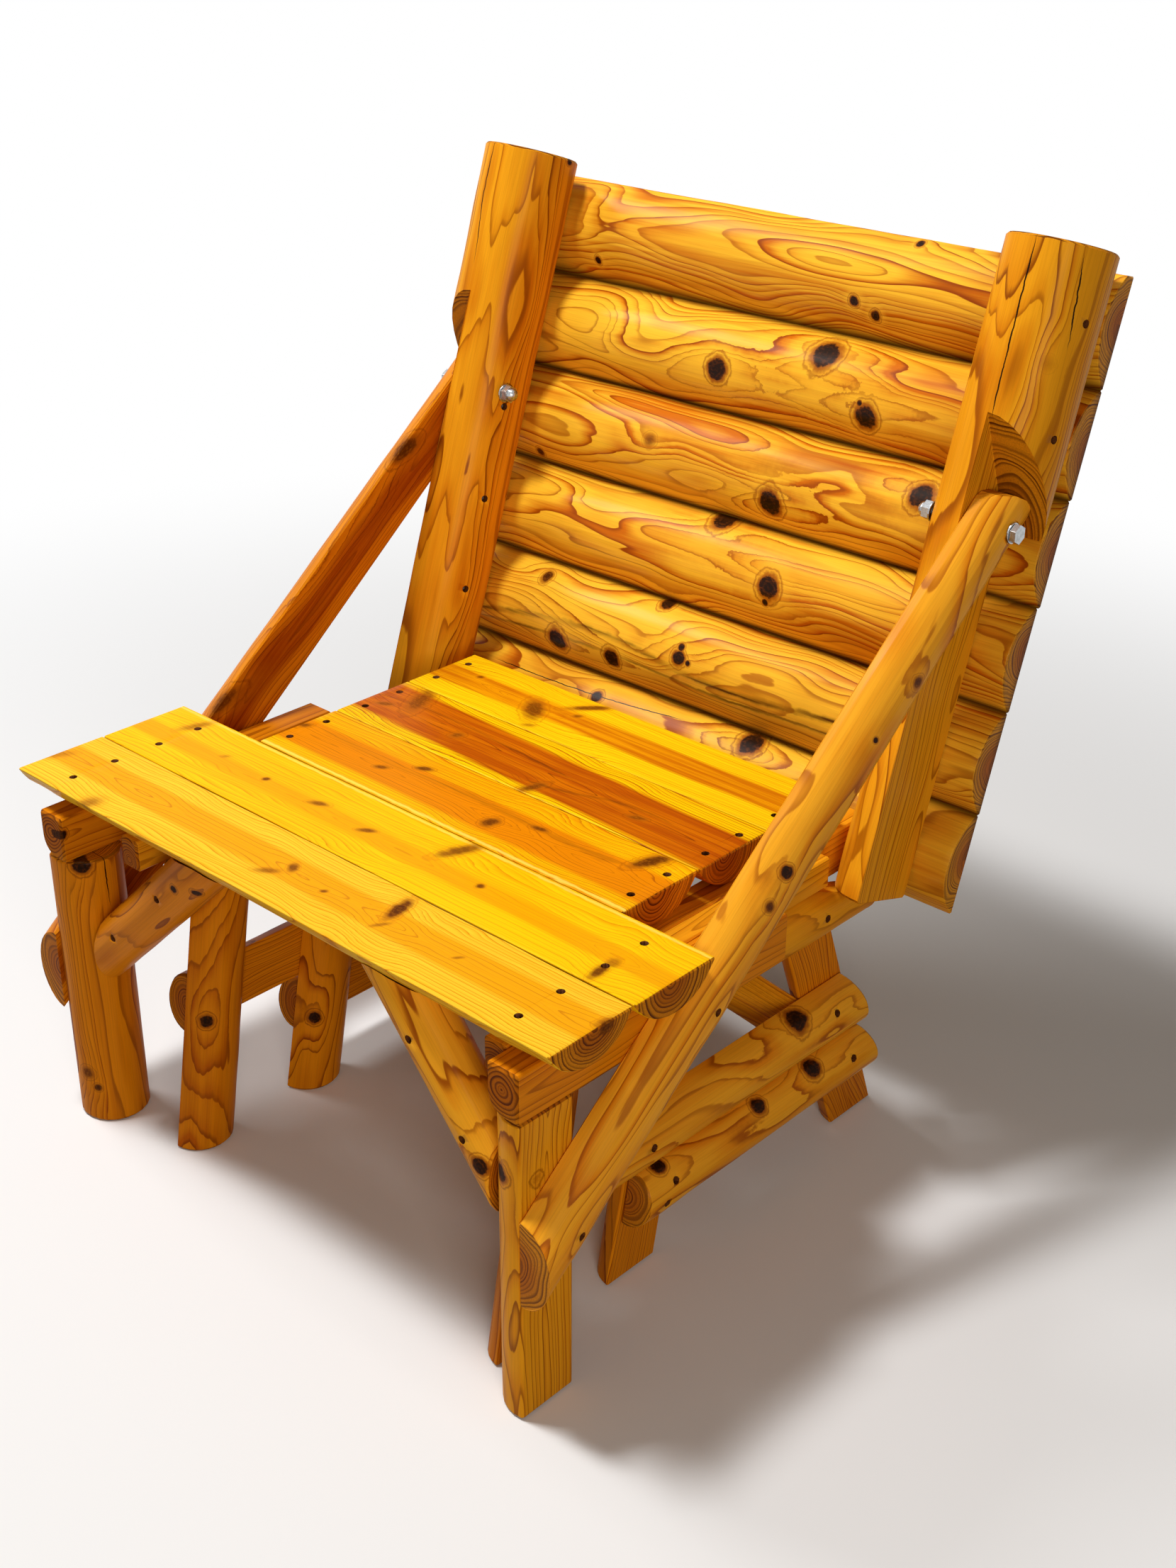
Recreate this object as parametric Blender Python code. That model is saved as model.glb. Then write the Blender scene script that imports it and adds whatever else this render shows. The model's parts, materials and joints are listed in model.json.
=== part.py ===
"""A log chair whose backrest folds forward on two bolts to lie level as a table top.

Every timber is a half log, a squared log or a round log of cedar. Seen from the front, X runs
to the right, Y to the rear and Z up, in metres. The chair stands on the plane Z = 0 with the
middle of its outline over the origin.
"""

import math

import bmesh
import bpy
from mathutils import Matrix, Vector

# Clearance left between two pieces that touch
FIT = 0.0003
# How far a cutter or an untrimmed timber runs past what it cuts or meets
OVERRUN = 0.06

# Seat planks, half logs with the flat side up
SEAT_HEIGHT = 0.414
PLANK_WIDTH = 0.1063
PLANK_THICKNESS = 0.035
PLANK_GAP = 0.0007
FRONT_PLANK_COUNT = 2
REAR_PLANK_COUNT = 3
FRONT_PLANK_OVERHANG = 0.034
REAR_PLANK_LENGTH = 0.520
REAR_PLANK_OFFSET = 0.010
FRONT_PLANK_SCREW_INSET = 0.060
REAR_PLANK_SCREW_INSET = 0.016

# Outer frame: rails and front legs whose outer faces lie in one plane on each side
FRAME_HALF_WIDTH = 0.346
OUTER_RAIL_WIDTH = 0.037
OUTER_RAIL_HEIGHT = 0.051
OUTER_RAIL_LENGTH = 0.364
OUTER_RAIL_ROUND = 0.022
FRONT_LEG_WIDTH = 0.066
FRONT_LEG_DEPTH_RIGHT = 0.046
FRONT_LEG_DEPTH_LEFT = 0.056

# Round knee braces from the front legs up to the front plank
KNEE_DIAMETER = 0.057
KNEE_SETBACK = 0.036
KNEE_PITCH_RIGHT = math.radians(49)
KNEE_PITCH_LEFT = math.radians(43)
KNEE_DROP_RIGHT = 0.178
KNEE_DROP_LEFT = 0.192

# Trestles: three half log legs on each side with their flat faces in one plane
TRESTLE_INSET_RIGHT = 0.065
TRESTLE_INSET_LEFT = 0.134
LEG_WIDTH = 0.069
LEG_THICKNESS = 0.034
FRONT_FOOT = 0.033
FRONT_FOOT_LEAN = math.radians(9.5)
MIDDLE_FOOT = 0.186
MIDDLE_FOOT_LEAN = math.radians(11)
REAR_FOOT = 0.553
REAR_FOOT_LEAN = math.radians(-20.3)
BEARER_WIDTH = 0.037
BEARER_HEIGHT = 0.051
CLEAT_WIDTH = 0.027
CLEAT_HEIGHT = 0.034
CLEAT_SETBACK = 0.024
CLEAT_LENGTH = 0.456
SIDE_RAIL_WIDTH = 0.070
SIDE_RAIL_THICKNESS = 0.034
SIDE_RAIL_SETBACK = 0.075
SIDE_RAIL_LENGTH = 0.485
UPPER_STRETCHER_DROP = 0.212
UPPER_STRETCHER_WIDTH = 0.068
LOWER_STRETCHER_WIDTH = 0.060
STRETCHER_THICKNESS = 0.034
STRETCHER_GAP = 0.005
STRETCHER_END_MARGIN = 0.004

# Cross tie that lies on the front edges of the two rear legs
TIE_WIDTH = 0.069
TIE_THICKNESS = 0.034
TIE_TILT = math.radians(14)
TIE_DROP = 0.214

# Arm braces, half logs that carry the pivot
BRACE_FOOT_WIDTH = 0.073
BRACE_HEAD_WIDTH = 0.067
BRACE_THICKNESS = 0.037
BRACE_PITCH = math.radians(39)

# Backrest
PIVOT_SETBACK = 0.6335
PIVOT_HEIGHT = 0.281
BACK_LEAN = math.radians(18.4)
POST_DIAMETER = 0.108
POST_BEHIND_PIVOT = 0.0156
POST_BACK_FLAT = 0.0335
POST_BELOW_PIVOT = 0.3855
POST_ABOVE_PIVOT = 0.2685
POST_FOOT_CLEARANCE = 0.003
NOTCH_CLEARANCE = 0.002
SLAT_COUNT = 6
SLAT_OVERHANG = 0.045
SLAT_WIDTH = 0.107
SLAT_THICKNESS = 0.035
SLAT_GAP = 0.001
SLAT_DROP = 0.0075
TOP_SLAT_WIDTH = 0.1085
TOP_SLAT_LOG_WIDTH = 0.118

# Pivot hardware
BOLT_DIAMETER = 0.010
BOLT_HEAD_WIDTH = 0.017
BOLT_HEAD_HEIGHT = 0.0065
NUT_HEX_HEIGHT = 0.008
NUT_DOME_RADIUS = 0.0078
NUT_WALL = 0.004
WASHER_DIAMETER = 0.021
WASHER_THICKNESS = 0.002
SPOT_FACE_MARGIN = 0.0015
BRACE_SPOT_DEPTH = 0.001
POST_SPOT_DEPTH = 0.0035

# Countersunk screw holes
SCREW_HOLE_DIAMETER = 0.0085
SCREW_HOLE_DEPTH = 0.012

# Rounded edges
EDGE_EASE = 0.002
END_EASE = 0.0025

# Least slope of a timber's end face against its length
END_SLOPE = math.radians(15)
# Least angle between two faces that stays a crisp edge
CRISP_ANGLE = math.radians(35)

# Facets
ARC_STEPS = 14
ROUND_STEPS = 20
CORNER_STEPS = 5
HOLE_SIDES = 10
BORE_SIDES = 24
BRACE_END_CUTS = 7

# Places along a timber as shares of its own length or width
PLANK_SCREW_SHARES = (0.27, 0.75)
UPPER_STRETCHER_SCREW_SHARES = ((0.07, 0.45), (0.30, 0.57), (0.89, 0.72))
LOWER_STRETCHER_SCREW_SHARES = ((0.07, 0.42), (0.11, 0.72), (0.88, 0.68))
SIDE_RAIL_SCREW_SHARES = ((0.10, 0.50), (0.45, 0.50), (0.82, 0.55))
BRACE_SCREW_SHARES = ((0.06, 0.45), (0.34, 0.48))
KNEE_SCREW_SHARES = (0.20, 0.62)
POST_SCREW_SIDE_SHARE = 0.97
SLAT_LENGTH_SHARES = (0.985, 0.987, 0.99, 0.996, 1.0, 1.0)

# Heights and places that follow from the sizes above
RAIL_TOP = SEAT_HEIGHT - PLANK_THICKNESS - FIT
OUTER_RAIL_BOTTOM = RAIL_TOP - OUTER_RAIL_HEIGHT
FRONT_LEG_TOP = OUTER_RAIL_BOTTOM - FIT
LEG_TOP = RAIL_TOP - BEARER_HEIGHT - FIT
SIDE_RAIL_TOP = RAIL_TOP - CLEAT_HEIGHT - FIT
FRONT_PLANK_LENGTH = 2 * (FRAME_HALF_WIDTH + FRONT_PLANK_OVERHANG)
SLAT_LENGTH = 2 * (FRAME_HALF_WIDTH + SLAT_OVERHANG)
TRESTLE_FACE_RIGHT = FRAME_HALF_WIDTH - TRESTLE_INSET_RIGHT
TRESTLE_FACE_LEFT = FRAME_HALF_WIDTH - TRESTLE_INSET_LEFT
BRACE_FACE = FRAME_HALF_WIDTH + FIT
POST_FLAT = POST_BEHIND_PIVOT + POST_BACK_FLAT
SLAT_PITCH = SLAT_WIDTH + SLAT_GAP
SLAT_FLAT = POST_FLAT + FIT + SLAT_THICKNESS
PIVOT = Vector((0, PIVOT_SETBACK, SEAT_HEIGHT + PIVOT_HEIGHT))
BACK_UP = Vector((0, math.sin(BACK_LEAN), math.cos(BACK_LEAN)))
BACK_REAR = Vector((0, math.cos(BACK_LEAN), -math.sin(BACK_LEAN)))
SLATS_TOP = (SLAT_COUNT - 1) * SLAT_PITCH + TOP_SLAT_WIDTH - POST_BELOW_PIVOT - SLAT_DROP
BRACE_LENGTH = PIVOT_SETBACK / math.cos(BRACE_PITCH)
OVERALL_DEPTH = (PIVOT + BACK_UP * SLATS_TOP + BACK_REAR * SLAT_FLAT).y

AXIS_X = Vector((1, 0, 0))
AXIS_Y = Vector((0, 1, 0))
AXIS_Z = Vector((0, 0, 1))


def clear_scene():
    for old in list(bpy.data.objects):
        bpy.data.objects.remove(old, do_unlink=True)


def surface(name, colour, roughness, metallic=0.0):
    """A Principled material."""
    made = bpy.data.materials.new(name)
    made.use_nodes = True
    shader = made.node_tree.nodes["Principled BSDF"]
    shader.inputs["Base Color"].default_value = (*colour, 1.0)
    shader.inputs["Roughness"].default_value = roughness
    shader.inputs["Metallic"].default_value = metallic
    made.diffuse_color = (*colour, 1.0)
    return made


def empty(name, place, lean=0.0, parent=None):
    """An empty that carries pieces. Its X axis is the joint's axis where they turn."""
    made = bpy.data.objects.new(name, None)
    bpy.context.scene.collection.objects.link(made)
    made.location = place
    made.rotation_euler = (-lean, 0, 0)
    made.parent = parent
    return made


def add_object(name, bm, parent, material=None):
    """Turns a bmesh into a named object under its parent."""
    bmesh.ops.recalc_face_normals(bm, faces=bm.faces)
    mesh = bpy.data.meshes.new(name)
    bm.to_mesh(mesh)
    bm.free()
    made = bpy.data.objects.new(name, mesh)
    bpy.context.scene.collection.objects.link(made)
    made.parent = parent
    if material:
        mesh.materials.append(material)
        mesh.shade_smooth()
        mesh.set_sharp_from_angle(angle=CRISP_ANGLE)
    return made


def half_log(width, thickness, ease=EDGE_EASE, steps=ARC_STEPS):
    """Outline of a log sawn flat: the flat on the U axis and the crown at V = thickness.

    A thickness over half the width gives a log with only a slice taken off.
    """
    radius = (width ** 2 / 4 + thickness ** 2) / (2 * thickness)
    middle = thickness - radius
    sweep = math.atan2(width / 2, -middle) - ease / radius
    points = [(-width / 2 + ease, 0), (width / 2 - ease, 0)]
    for step in range(steps + 1):
        angle = sweep * (1 - 2 * step / steps)
        points.append((radius * math.sin(angle), middle + radius * math.cos(angle)))
    return points


def round_log(diameter, steps=ROUND_STEPS):
    """Outline of a whole log, centred on the axis."""
    turn = 2 * math.pi / steps
    return [(math.cos(turn * i) * diameter / 2, math.sin(turn * i) * diameter / 2) for i in range(steps)]


def squared_log(width, height, radii):
    """Outline of a squared log from (0, 0) to (width, height).

    The radii of its corners are given in the order low left, low right, high right, high left.
    """
    signs = ((0, 0), (1, 0), (1, 1), (0, 1))
    points = []
    for corner, radius in enumerate(radii):
        across, up = signs[corner]
        centre_u = across * width + radius * (1 - 2 * across)
        centre_v = up * height + radius * (1 - 2 * up)
        steps = CORNER_STEPS if radius > EDGE_EASE else 1
        for step in range(steps + 1):
            angle = math.pi + corner * math.pi / 2 + step / steps * math.pi / 2
            points.append((centre_u + radius * math.cos(angle), centre_v + radius * math.sin(angle)))
    return points


def prism(bm, outline, length, taper=1):
    """Adds the outline in U and V, run along W from 0 to the length, where U is scaled."""
    low = [bm.verts.new((u, v, 0)) for u, v in outline]
    high = [bm.verts.new((u * taper, v, length)) for u, v in outline]
    bm.faces.new(list(reversed(low)))
    bm.faces.new(high)
    for i in range(len(outline)):
        j = (i + 1) % len(outline)
        bm.faces.new((low[i], low[j], high[j], high[i]))
    return low + high


def turned(bm, profile, sides):
    """Adds a solid turned about the W axis from (radius, W) points that start and end on it."""
    rings = []
    for radius, along in profile:
        if radius == 0:
            rings.append([bm.verts.new((0, 0, along))])
            continue
        angles = [2 * math.pi * i / sides for i in range(sides)]
        rings.append([bm.verts.new((radius * math.cos(a), radius * math.sin(a), along)) for a in angles])
    for near, far in zip(rings, rings[1:]):
        for i in range(sides):
            j = (i + 1) % sides
            corners = [near[i % len(near)], near[j % len(near)], far[j % len(far)], far[i % len(far)]]
            bm.faces.new(list(dict.fromkeys(corners)))
    return [vert for ring in rings for vert in ring]


def trim(bm, point, normal):
    """Cuts off what lies on the side that the normal points to, and caps the cut."""
    everything = bm.verts[:] + bm.edges[:] + bm.faces[:]
    found = bmesh.ops.bisect_plane(
        bm, geom=everything, plane_co=point, plane_no=normal, clear_outer=True
    )
    rim = [part for part in found["geom_cut"] if isinstance(part, bmesh.types.BMEdge)]
    if rim:
        bmesh.ops.edgeloop_fill(bm, edges=rim)


def ease_ends(bm, ease):
    """Sands the edges round the two ends of a timber, whose length is along W."""
    edges = set()
    for face in bm.faces:
        face.normal_update()
        if len(face.verts) > 5 and abs(face.normal.z) > math.sin(END_SLOPE):
            edges.update(face.edges)
    bmesh.ops.bevel(
        bm,
        geom=list(edges),
        offset=ease,
        offset_type="OFFSET",
        segments=1,
        affect="EDGES",
        clamp_overlap=True,
    )


def basis(along, crown):
    """Rotation with W along the timber, V towards its crown and U across it."""
    w_axis = along.normalized()
    v_axis = (crown - w_axis * crown.dot(w_axis)).normalized()
    u_axis = v_axis.cross(w_axis)
    return Matrix((u_axis, v_axis, w_axis)).transposed()


def timber(name, outline, start, end, crown, parent, material, cuts=(), taper=1):
    """A log along the line from start to end, with its crown to one side.

    Each cut is a point and a normal in the parent's frame: the wood past that plane goes.
    """
    turn = basis(end - start, crown)
    bm = bmesh.new()
    prism(bm, outline, (end - start).length, taper)
    for point, normal in cuts:
        trim(bm, turn.transposed() @ (point - start), turn.transposed() @ normal)
    ease_ends(bm, END_EASE)
    made = add_object(name, bm, parent, material)
    made.location = start
    made.rotation_euler = turn.to_euler()
    return made


def boolean(piece, tool, operation="DIFFERENCE"):
    """Cuts the tool out of the piece, or joins it on, and leaves the tool out of the model."""
    tool.hide_render = True
    tool.display_type = "WIRE"
    change = piece.modifiers.new(tool.name, "BOOLEAN")
    change.operation = operation
    change.solver = "EXACT"
    change.object = tool


def drill(piece, places, parent, diameter=SCREW_HOLE_DIAMETER, depth=SCREW_HOLE_DEPTH):
    """Blind screw holes. A place is the point where the hole opens and the way it goes in."""
    bm = bmesh.new()
    for point, inward in places:
        turn = basis(inward, AXIS_X if abs(inward.x) < abs(inward.z) else AXIS_Z)
        added = prism(bm, round_log(diameter, HOLE_SIDES), depth + OVERRUN)
        place = Matrix.Translation(point - inward.normalized() * OVERRUN) @ turn.to_4x4()
        bmesh.ops.transform(bm, matrix=place, verts=added)
    boolean(piece, add_object(piece.name + "_screw_holes", bm, parent))


def bore(piece, profile, parent, side):
    """Bores the piece along the pivot axis. W in the profile is the distance from the middle."""
    bm = bmesh.new()
    turned(bm, profile, BORE_SIDES)
    tool = add_object(piece.name + "_bore", bm, parent)
    tool.rotation_euler = (0, side * math.pi / 2, 0)
    if parent.name == "seat_frame":
        tool.location = PIVOT
    boolean(piece, tool)


def on_crown(width, thickness, across):
    """Height of a half log's surface above its flat, at a place across it."""
    radius = (width ** 2 / 4 + thickness ** 2) / (2 * thickness)
    return thickness - radius + math.sqrt(radius ** 2 - across ** 2)


def crown_slope(width, thickness, across):
    """Sine of the surface's slope there."""
    radius = (width ** 2 / 4 + thickness ** 2) / (2 * thickness)
    return across / radius


def crown_hole(width, thickness, across, flat_point, sideways, crown):
    """Place of a screw hole square to a half log's round side."""
    slope = crown_slope(width, thickness, across)
    outward = crown * math.sqrt(1 - slope ** 2) + sideways * slope
    point = flat_point + sideways * across + crown * on_crown(width, thickness, across)
    return point, -outward


def seat_planks(frame, shades):
    """Two long planks at the front and three short ones behind them."""
    pitch = PLANK_WIDTH + PLANK_GAP
    for index in range(FRONT_PLANK_COUNT + REAR_PLANK_COUNT):
        front = index < FRONT_PLANK_COUNT
        half = (FRONT_PLANK_LENGTH if front else REAR_PLANK_LENGTH) / 2
        middle = 0 if front else REAR_PLANK_OFFSET
        inset = FRONT_PLANK_SCREW_INSET if front else REAR_PLANK_SCREW_INSET
        near = index * pitch
        plank = timber(
            f"seat_plank_{index + 1}",
            half_log(PLANK_WIDTH, PLANK_THICKNESS),
            Vector((middle - half, near + PLANK_WIDTH / 2, SEAT_HEIGHT)),
            Vector((middle + half, near + PLANK_WIDTH / 2, SEAT_HEIGHT)),
            -AXIS_Z,
            frame,
            shades[index],
        )
        ends = (middle - half + inset, middle + half - inset)
        rows = [near + share * PLANK_WIDTH for share in PLANK_SCREW_SHARES]
        drill(plank, [(Vector((x, y, SEAT_HEIGHT)), -AXIS_Z) for x in ends for y in rows], frame)


def outer_side(side, label, depth, frame, wood):
    """Outer rail and front leg. The rail keeps its rounded side to the same hand on both."""
    sawn = EDGE_EASE
    radii = (OUTER_RAIL_ROUND, sawn, sawn, sawn)
    low_corner = FRAME_HALF_WIDTH - OUTER_RAIL_WIDTH if side > 0 else -FRAME_HALF_WIDTH
    start = Vector((low_corner + OUTER_RAIL_WIDTH, 0, OUTER_RAIL_BOTTOM))
    corners = squared_log(OUTER_RAIL_WIDTH, OUTER_RAIL_HEIGHT, radii)
    outline = [(OUTER_RAIL_WIDTH - u, v) for u, v in reversed(corners)]
    timber(f"outer_rail_{label}", outline, start, start + AXIS_Y * OUTER_RAIL_LENGTH, AXIS_Z, frame, wood)
    radius = (FRONT_LEG_WIDTH ** 2 / 4 + depth ** 2) / (2 * depth)
    foot = Vector((side * FRAME_HALF_WIDTH, max(radius, FRONT_LEG_WIDTH / 2), 0))
    timber(
        f"front_leg_{label}",
        half_log(FRONT_LEG_WIDTH, depth),
        foot,
        foot + AXIS_Z * FRONT_LEG_TOP,
        -AXIS_X * side,
        frame,
        wood,
    )


def knee_brace(side, label, leg_depth, drop, pitch, cleat_face, frame, wood):
    """Round brace coped to the front plank and notched under the cleat."""
    leg_face = FRAME_HALF_WIDTH - leg_depth - FIT
    rise = Vector((-side * math.cos(pitch), 0, math.sin(pitch)))
    length = drop / math.sin(pitch)
    foot = Vector((side * leg_face, KNEE_SETBACK, SEAT_HEIGHT - drop))
    brace = timber(
        f"knee_brace_{label}",
        round_log(KNEE_DIAMETER),
        foot - rise * OVERRUN,
        foot + rise * length,
        AXIS_Y,
        frame,
        wood,
        cuts=((foot, AXIS_X * side),),
    )
    cope = bmesh.new()
    outline = half_log(PLANK_WIDTH + 2 * FIT, PLANK_THICKNESS + FIT)
    raised = [(u, v if v > 0 else -OVERRUN) for u, v in outline]
    prism(cope, raised, FRONT_PLANK_LENGTH)
    tool = add_object(f"knee_brace_{label}_cope", cope, frame)
    tool.location = (-FRONT_PLANK_LENGTH / 2, PLANK_WIDTH / 2, SEAT_HEIGHT)
    tool.rotation_euler = basis(AXIS_X, -AXIS_Z).to_euler()
    boolean(brace, tool)
    notch = bmesh.new()
    width = CLEAT_WIDTH + 2 * FIT
    prism(notch, [(0, 0), (width, 0), (width, OVERRUN), (0, OVERRUN)], CLEAT_LENGTH)
    tool = add_object(f"knee_brace_{label}_notch", notch, frame)
    inner = min(side * cleat_face, side * (cleat_face + width))
    tool.location = (inner + width, CLEAT_SETBACK - FIT, SIDE_RAIL_TOP)
    tool.rotation_euler = basis(AXIS_Y, AXIS_Z).to_euler()
    boolean(brace, tool)
    front = foot - AXIS_Y * KNEE_DIAMETER / 2
    spots = [front + rise * length * share for share in KNEE_SCREW_SHARES]
    drill(brace, [(spot, AXIS_Y) for spot in spots], frame)


def leg_line(foot, lean, height):
    """Y of a trestle leg's front edge at a height."""
    return foot + height * math.tan(lean)


def trestle(side, label, face, frame, woods):
    """Three legs with the bearer on top, and the cleat, rail and stretchers on their flats."""
    legs = {
        "front": (FRONT_FOOT, FRONT_FOOT_LEAN),
        "middle": (MIDDLE_FOOT, MIDDLE_FOOT_LEAN),
        "rear": (REAR_FOOT, REAR_FOOT_LEAN),
    }
    out = AXIS_X * side
    flat = side * face
    for place, (foot, lean) in legs.items():
        along = Vector((0, math.sin(lean), math.cos(lean)))
        middle = Vector((flat, foot + LEG_WIDTH / math.cos(lean) / 2, 0))
        timber(
            f"trestle_leg_{place}_{label}",
            half_log(LEG_WIDTH, LEG_THICKNESS),
            middle - along * OVERRUN,
            middle + along * (LEG_TOP / math.cos(lean) + OVERRUN),
            -out,
            frame,
            woods["leg"],
            cuts=((Vector((0, 0, 0)), -AXIS_Z), (Vector((0, 0, LEG_TOP)), AXIS_Z)),
        )
    bearer(side, label, face, frame, woods["rail"])
    cleat(side, label, face, frame, woods["rail"])
    side_rail(side, label, face, frame, woods["rail"])
    upper_top = SEAT_HEIGHT - UPPER_STRETCHER_DROP
    lower_top = upper_top - UPPER_STRETCHER_WIDTH - STRETCHER_GAP
    upper = (upper_top, UPPER_STRETCHER_WIDTH, legs["front"], UPPER_STRETCHER_SCREW_SHARES)
    lower = (lower_top, LOWER_STRETCHER_WIDTH, legs["middle"], LOWER_STRETCHER_SCREW_SHARES)
    for name, (top, width, first_leg, shares) in (("upper", upper), ("lower", lower)):
        stretcher(
            f"{name}_stretcher_{label}",
            top,
            width,
            first_leg,
            legs["rear"],
            shares,
            out * (face + FIT),
            frame,
            woods["stretcher"],
        )


def bearer(side, label, face, frame, wood):
    """Squared log on the leg tops. Its rear end is cut to the backrest's lean and stops it."""
    near = leg_line(FRONT_FOOT, FRONT_FOOT_LEAN, LEG_TOP)
    right_face = face if side > 0 else BEARER_WIDTH - face
    start = Vector((right_face, near, LEG_TOP + FIT))
    stop = PIVOT + BACK_REAR * (POST_FLAT - FIT)
    timber(
        f"seat_bearer_{label}",
        squared_log(BEARER_WIDTH, BEARER_HEIGHT, (EDGE_EASE,) * 4),
        start,
        start + AXIS_Y * PIVOT_SETBACK,
        AXIS_Z,
        frame,
        wood,
        cuts=((stop, BACK_REAR),),
    )


def cleat(side, label, face, frame, wood):
    """Narrow squared log on the flats, level with the bearer."""
    right_face = face + FIT + CLEAT_WIDTH if side > 0 else -face - FIT
    start = Vector((right_face, CLEAT_SETBACK, RAIL_TOP - CLEAT_HEIGHT))
    outline = squared_log(CLEAT_WIDTH, CLEAT_HEIGHT, (EDGE_EASE,) * 4)
    timber(f"seat_cleat_{label}", outline, start, start + AXIS_Y * CLEAT_LENGTH, AXIS_Z, frame, wood)


def side_rail(side, label, face, frame, wood):
    """Half log under the cleat, trimmed at the rear so that the post's foot swings clear."""
    out = AXIS_X * side
    centre = SIDE_RAIL_TOP - SIDE_RAIL_WIDTH / 2
    start = Vector((side * (face + FIT), SIDE_RAIL_SETBACK, centre))
    foot_swing = PIVOT - BACK_UP * (POST_BELOW_PIVOT + POST_FOOT_CLEARANCE)
    rail = timber(
        f"side_rail_{label}",
        half_log(SIDE_RAIL_WIDTH, SIDE_RAIL_THICKNESS),
        start,
        start + AXIS_Y * SIDE_RAIL_LENGTH,
        out,
        frame,
        wood,
        cuts=((foot_swing, BACK_UP),),
    )
    places = []
    for along, up in SIDE_RAIL_SCREW_SHARES:
        base = start + AXIS_Y * SIDE_RAIL_LENGTH * along
        across = (up - 1 / 2) * SIDE_RAIL_WIDTH
        places.append(crown_hole(SIDE_RAIL_WIDTH, SIDE_RAIL_THICKNESS, across, base, AXIS_Z, out))
    drill(rail, places, frame)


def stretcher(name, top, width, first_leg, last_leg, shares, flat, frame, wood):
    """Half log on the legs' flats, with its ends trimmed in line with the outer legs."""
    centre = top - width / 2
    first_lean = first_leg[1]
    last_lean = last_leg[1]
    near = leg_line(*first_leg, centre) + STRETCHER_END_MARGIN
    far = leg_line(*last_leg, centre) + LEG_WIDTH / math.cos(last_lean) - STRETCHER_END_MARGIN
    out = flat.normalized()
    made = timber(
        name,
        half_log(width, STRETCHER_THICKNESS),
        Vector((flat.x, near - OVERRUN, centre)),
        Vector((flat.x, far + OVERRUN, centre)),
        out,
        frame,
        wood,
        cuts=(
            (Vector((0, near, centre)), Vector((0, -math.cos(first_lean), math.sin(first_lean)))),
            (Vector((0, far, centre)), Vector((0, math.cos(last_lean), -math.sin(last_lean)))),
        ),
    )
    places = []
    for along, up in shares:
        base = Vector((flat.x, near + (far - near) * along, centre))
        across = (up - 1 / 2) * width
        places.append(crown_hole(width, STRETCHER_THICKNESS, across, base, AXIS_Z, out))
    drill(made, places, frame)


def cross_tie(frame, wood):
    """Half log across the two trestles, lying on the front edges of the rear legs."""
    lean = REAR_FOOT_LEAN
    up_leg = Vector((0, math.sin(lean), math.cos(lean)))
    forward = Vector((0, -math.cos(lean), math.sin(lean)))
    across = AXIS_X * math.cos(TIE_TILT) - up_leg * math.sin(TIE_TILT)
    height = SEAT_HEIGHT - TIE_DROP
    right = Vector((TRESTLE_FACE_RIGHT, leg_line(REAR_FOOT, lean, height), height)) + forward * FIT
    width = TRESTLE_FACE_RIGHT + TRESTLE_FACE_LEFT
    left = right - across * (width / math.cos(TIE_TILT))
    sag = up_leg * (TIE_WIDTH / 2 / math.cos(TIE_TILT))
    timber(
        "rear_cross_tie",
        half_log(TIE_WIDTH, TIE_THICKNESS),
        left - sag - across * OVERRUN,
        right - sag + across * OVERRUN,
        forward,
        frame,
        wood,
        cuts=((right, AXIS_X), (left, -AXIS_X)),
    )


def brace_width(along):
    """Width of an arm brace at a distance up from its foot."""
    return BRACE_FOOT_WIDTH + (BRACE_HEAD_WIDTH - BRACE_FOOT_WIDTH) * along / BRACE_LENGTH


def arm_brace(side, label, frame, wood):
    """Half log from the front of the frame up to the pivot, rounded about the pivot bolt."""
    out = AXIS_X * side
    along = Vector((0, math.cos(BRACE_PITCH), math.sin(BRACE_PITCH)))
    square = Vector((0, -math.sin(BRACE_PITCH), math.cos(BRACE_PITCH)))
    axle = PIVOT + out * BRACE_FACE
    radius = BRACE_HEAD_WIDTH / 2
    cuts = [(Vector((0, 0, 0)), -AXIS_Y)]
    for step in range(BRACE_END_CUTS):
        angle = math.pi * ((step + 1) / (BRACE_END_CUTS + 1) - 1 / 2)
        normal = along * math.cos(angle) + square * math.sin(angle)
        cuts.append((PIVOT + normal * radius, normal))
    low_width = brace_width(-OVERRUN)
    high_width = brace_width(BRACE_LENGTH + radius + OVERRUN)
    brace = timber(
        f"arm_brace_{label}",
        half_log(low_width, BRACE_THICKNESS),
        axle - along * (BRACE_LENGTH + OVERRUN),
        axle + along * (radius + OVERRUN),
        out,
        frame,
        wood,
        cuts=cuts,
        taper=high_width / low_width,
    )
    hole = BOLT_DIAMETER / 2 + FIT
    spot = WASHER_DIAMETER / 2 + SPOT_FACE_MARGIN
    seat = BRACE_FACE + BRACE_THICKNESS - BRACE_SPOT_DEPTH
    near = BRACE_FACE - OVERRUN
    far = seat + OVERRUN
    bore(brace, ((0, near), (hole, near), (hole, seat), (spot, seat), (spot, far), (0, far)), frame, side)
    places = []
    for share, across_share in BRACE_SCREW_SHARES:
        base = axle - along * BRACE_LENGTH * (1 - share)
        width = brace_width(BRACE_LENGTH * share)
        across = (across_share - 1 / 2) * width
        places.append(crown_hole(width, BRACE_THICKNESS, across, base, square, out))
    drill(brace, places, frame)


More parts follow.
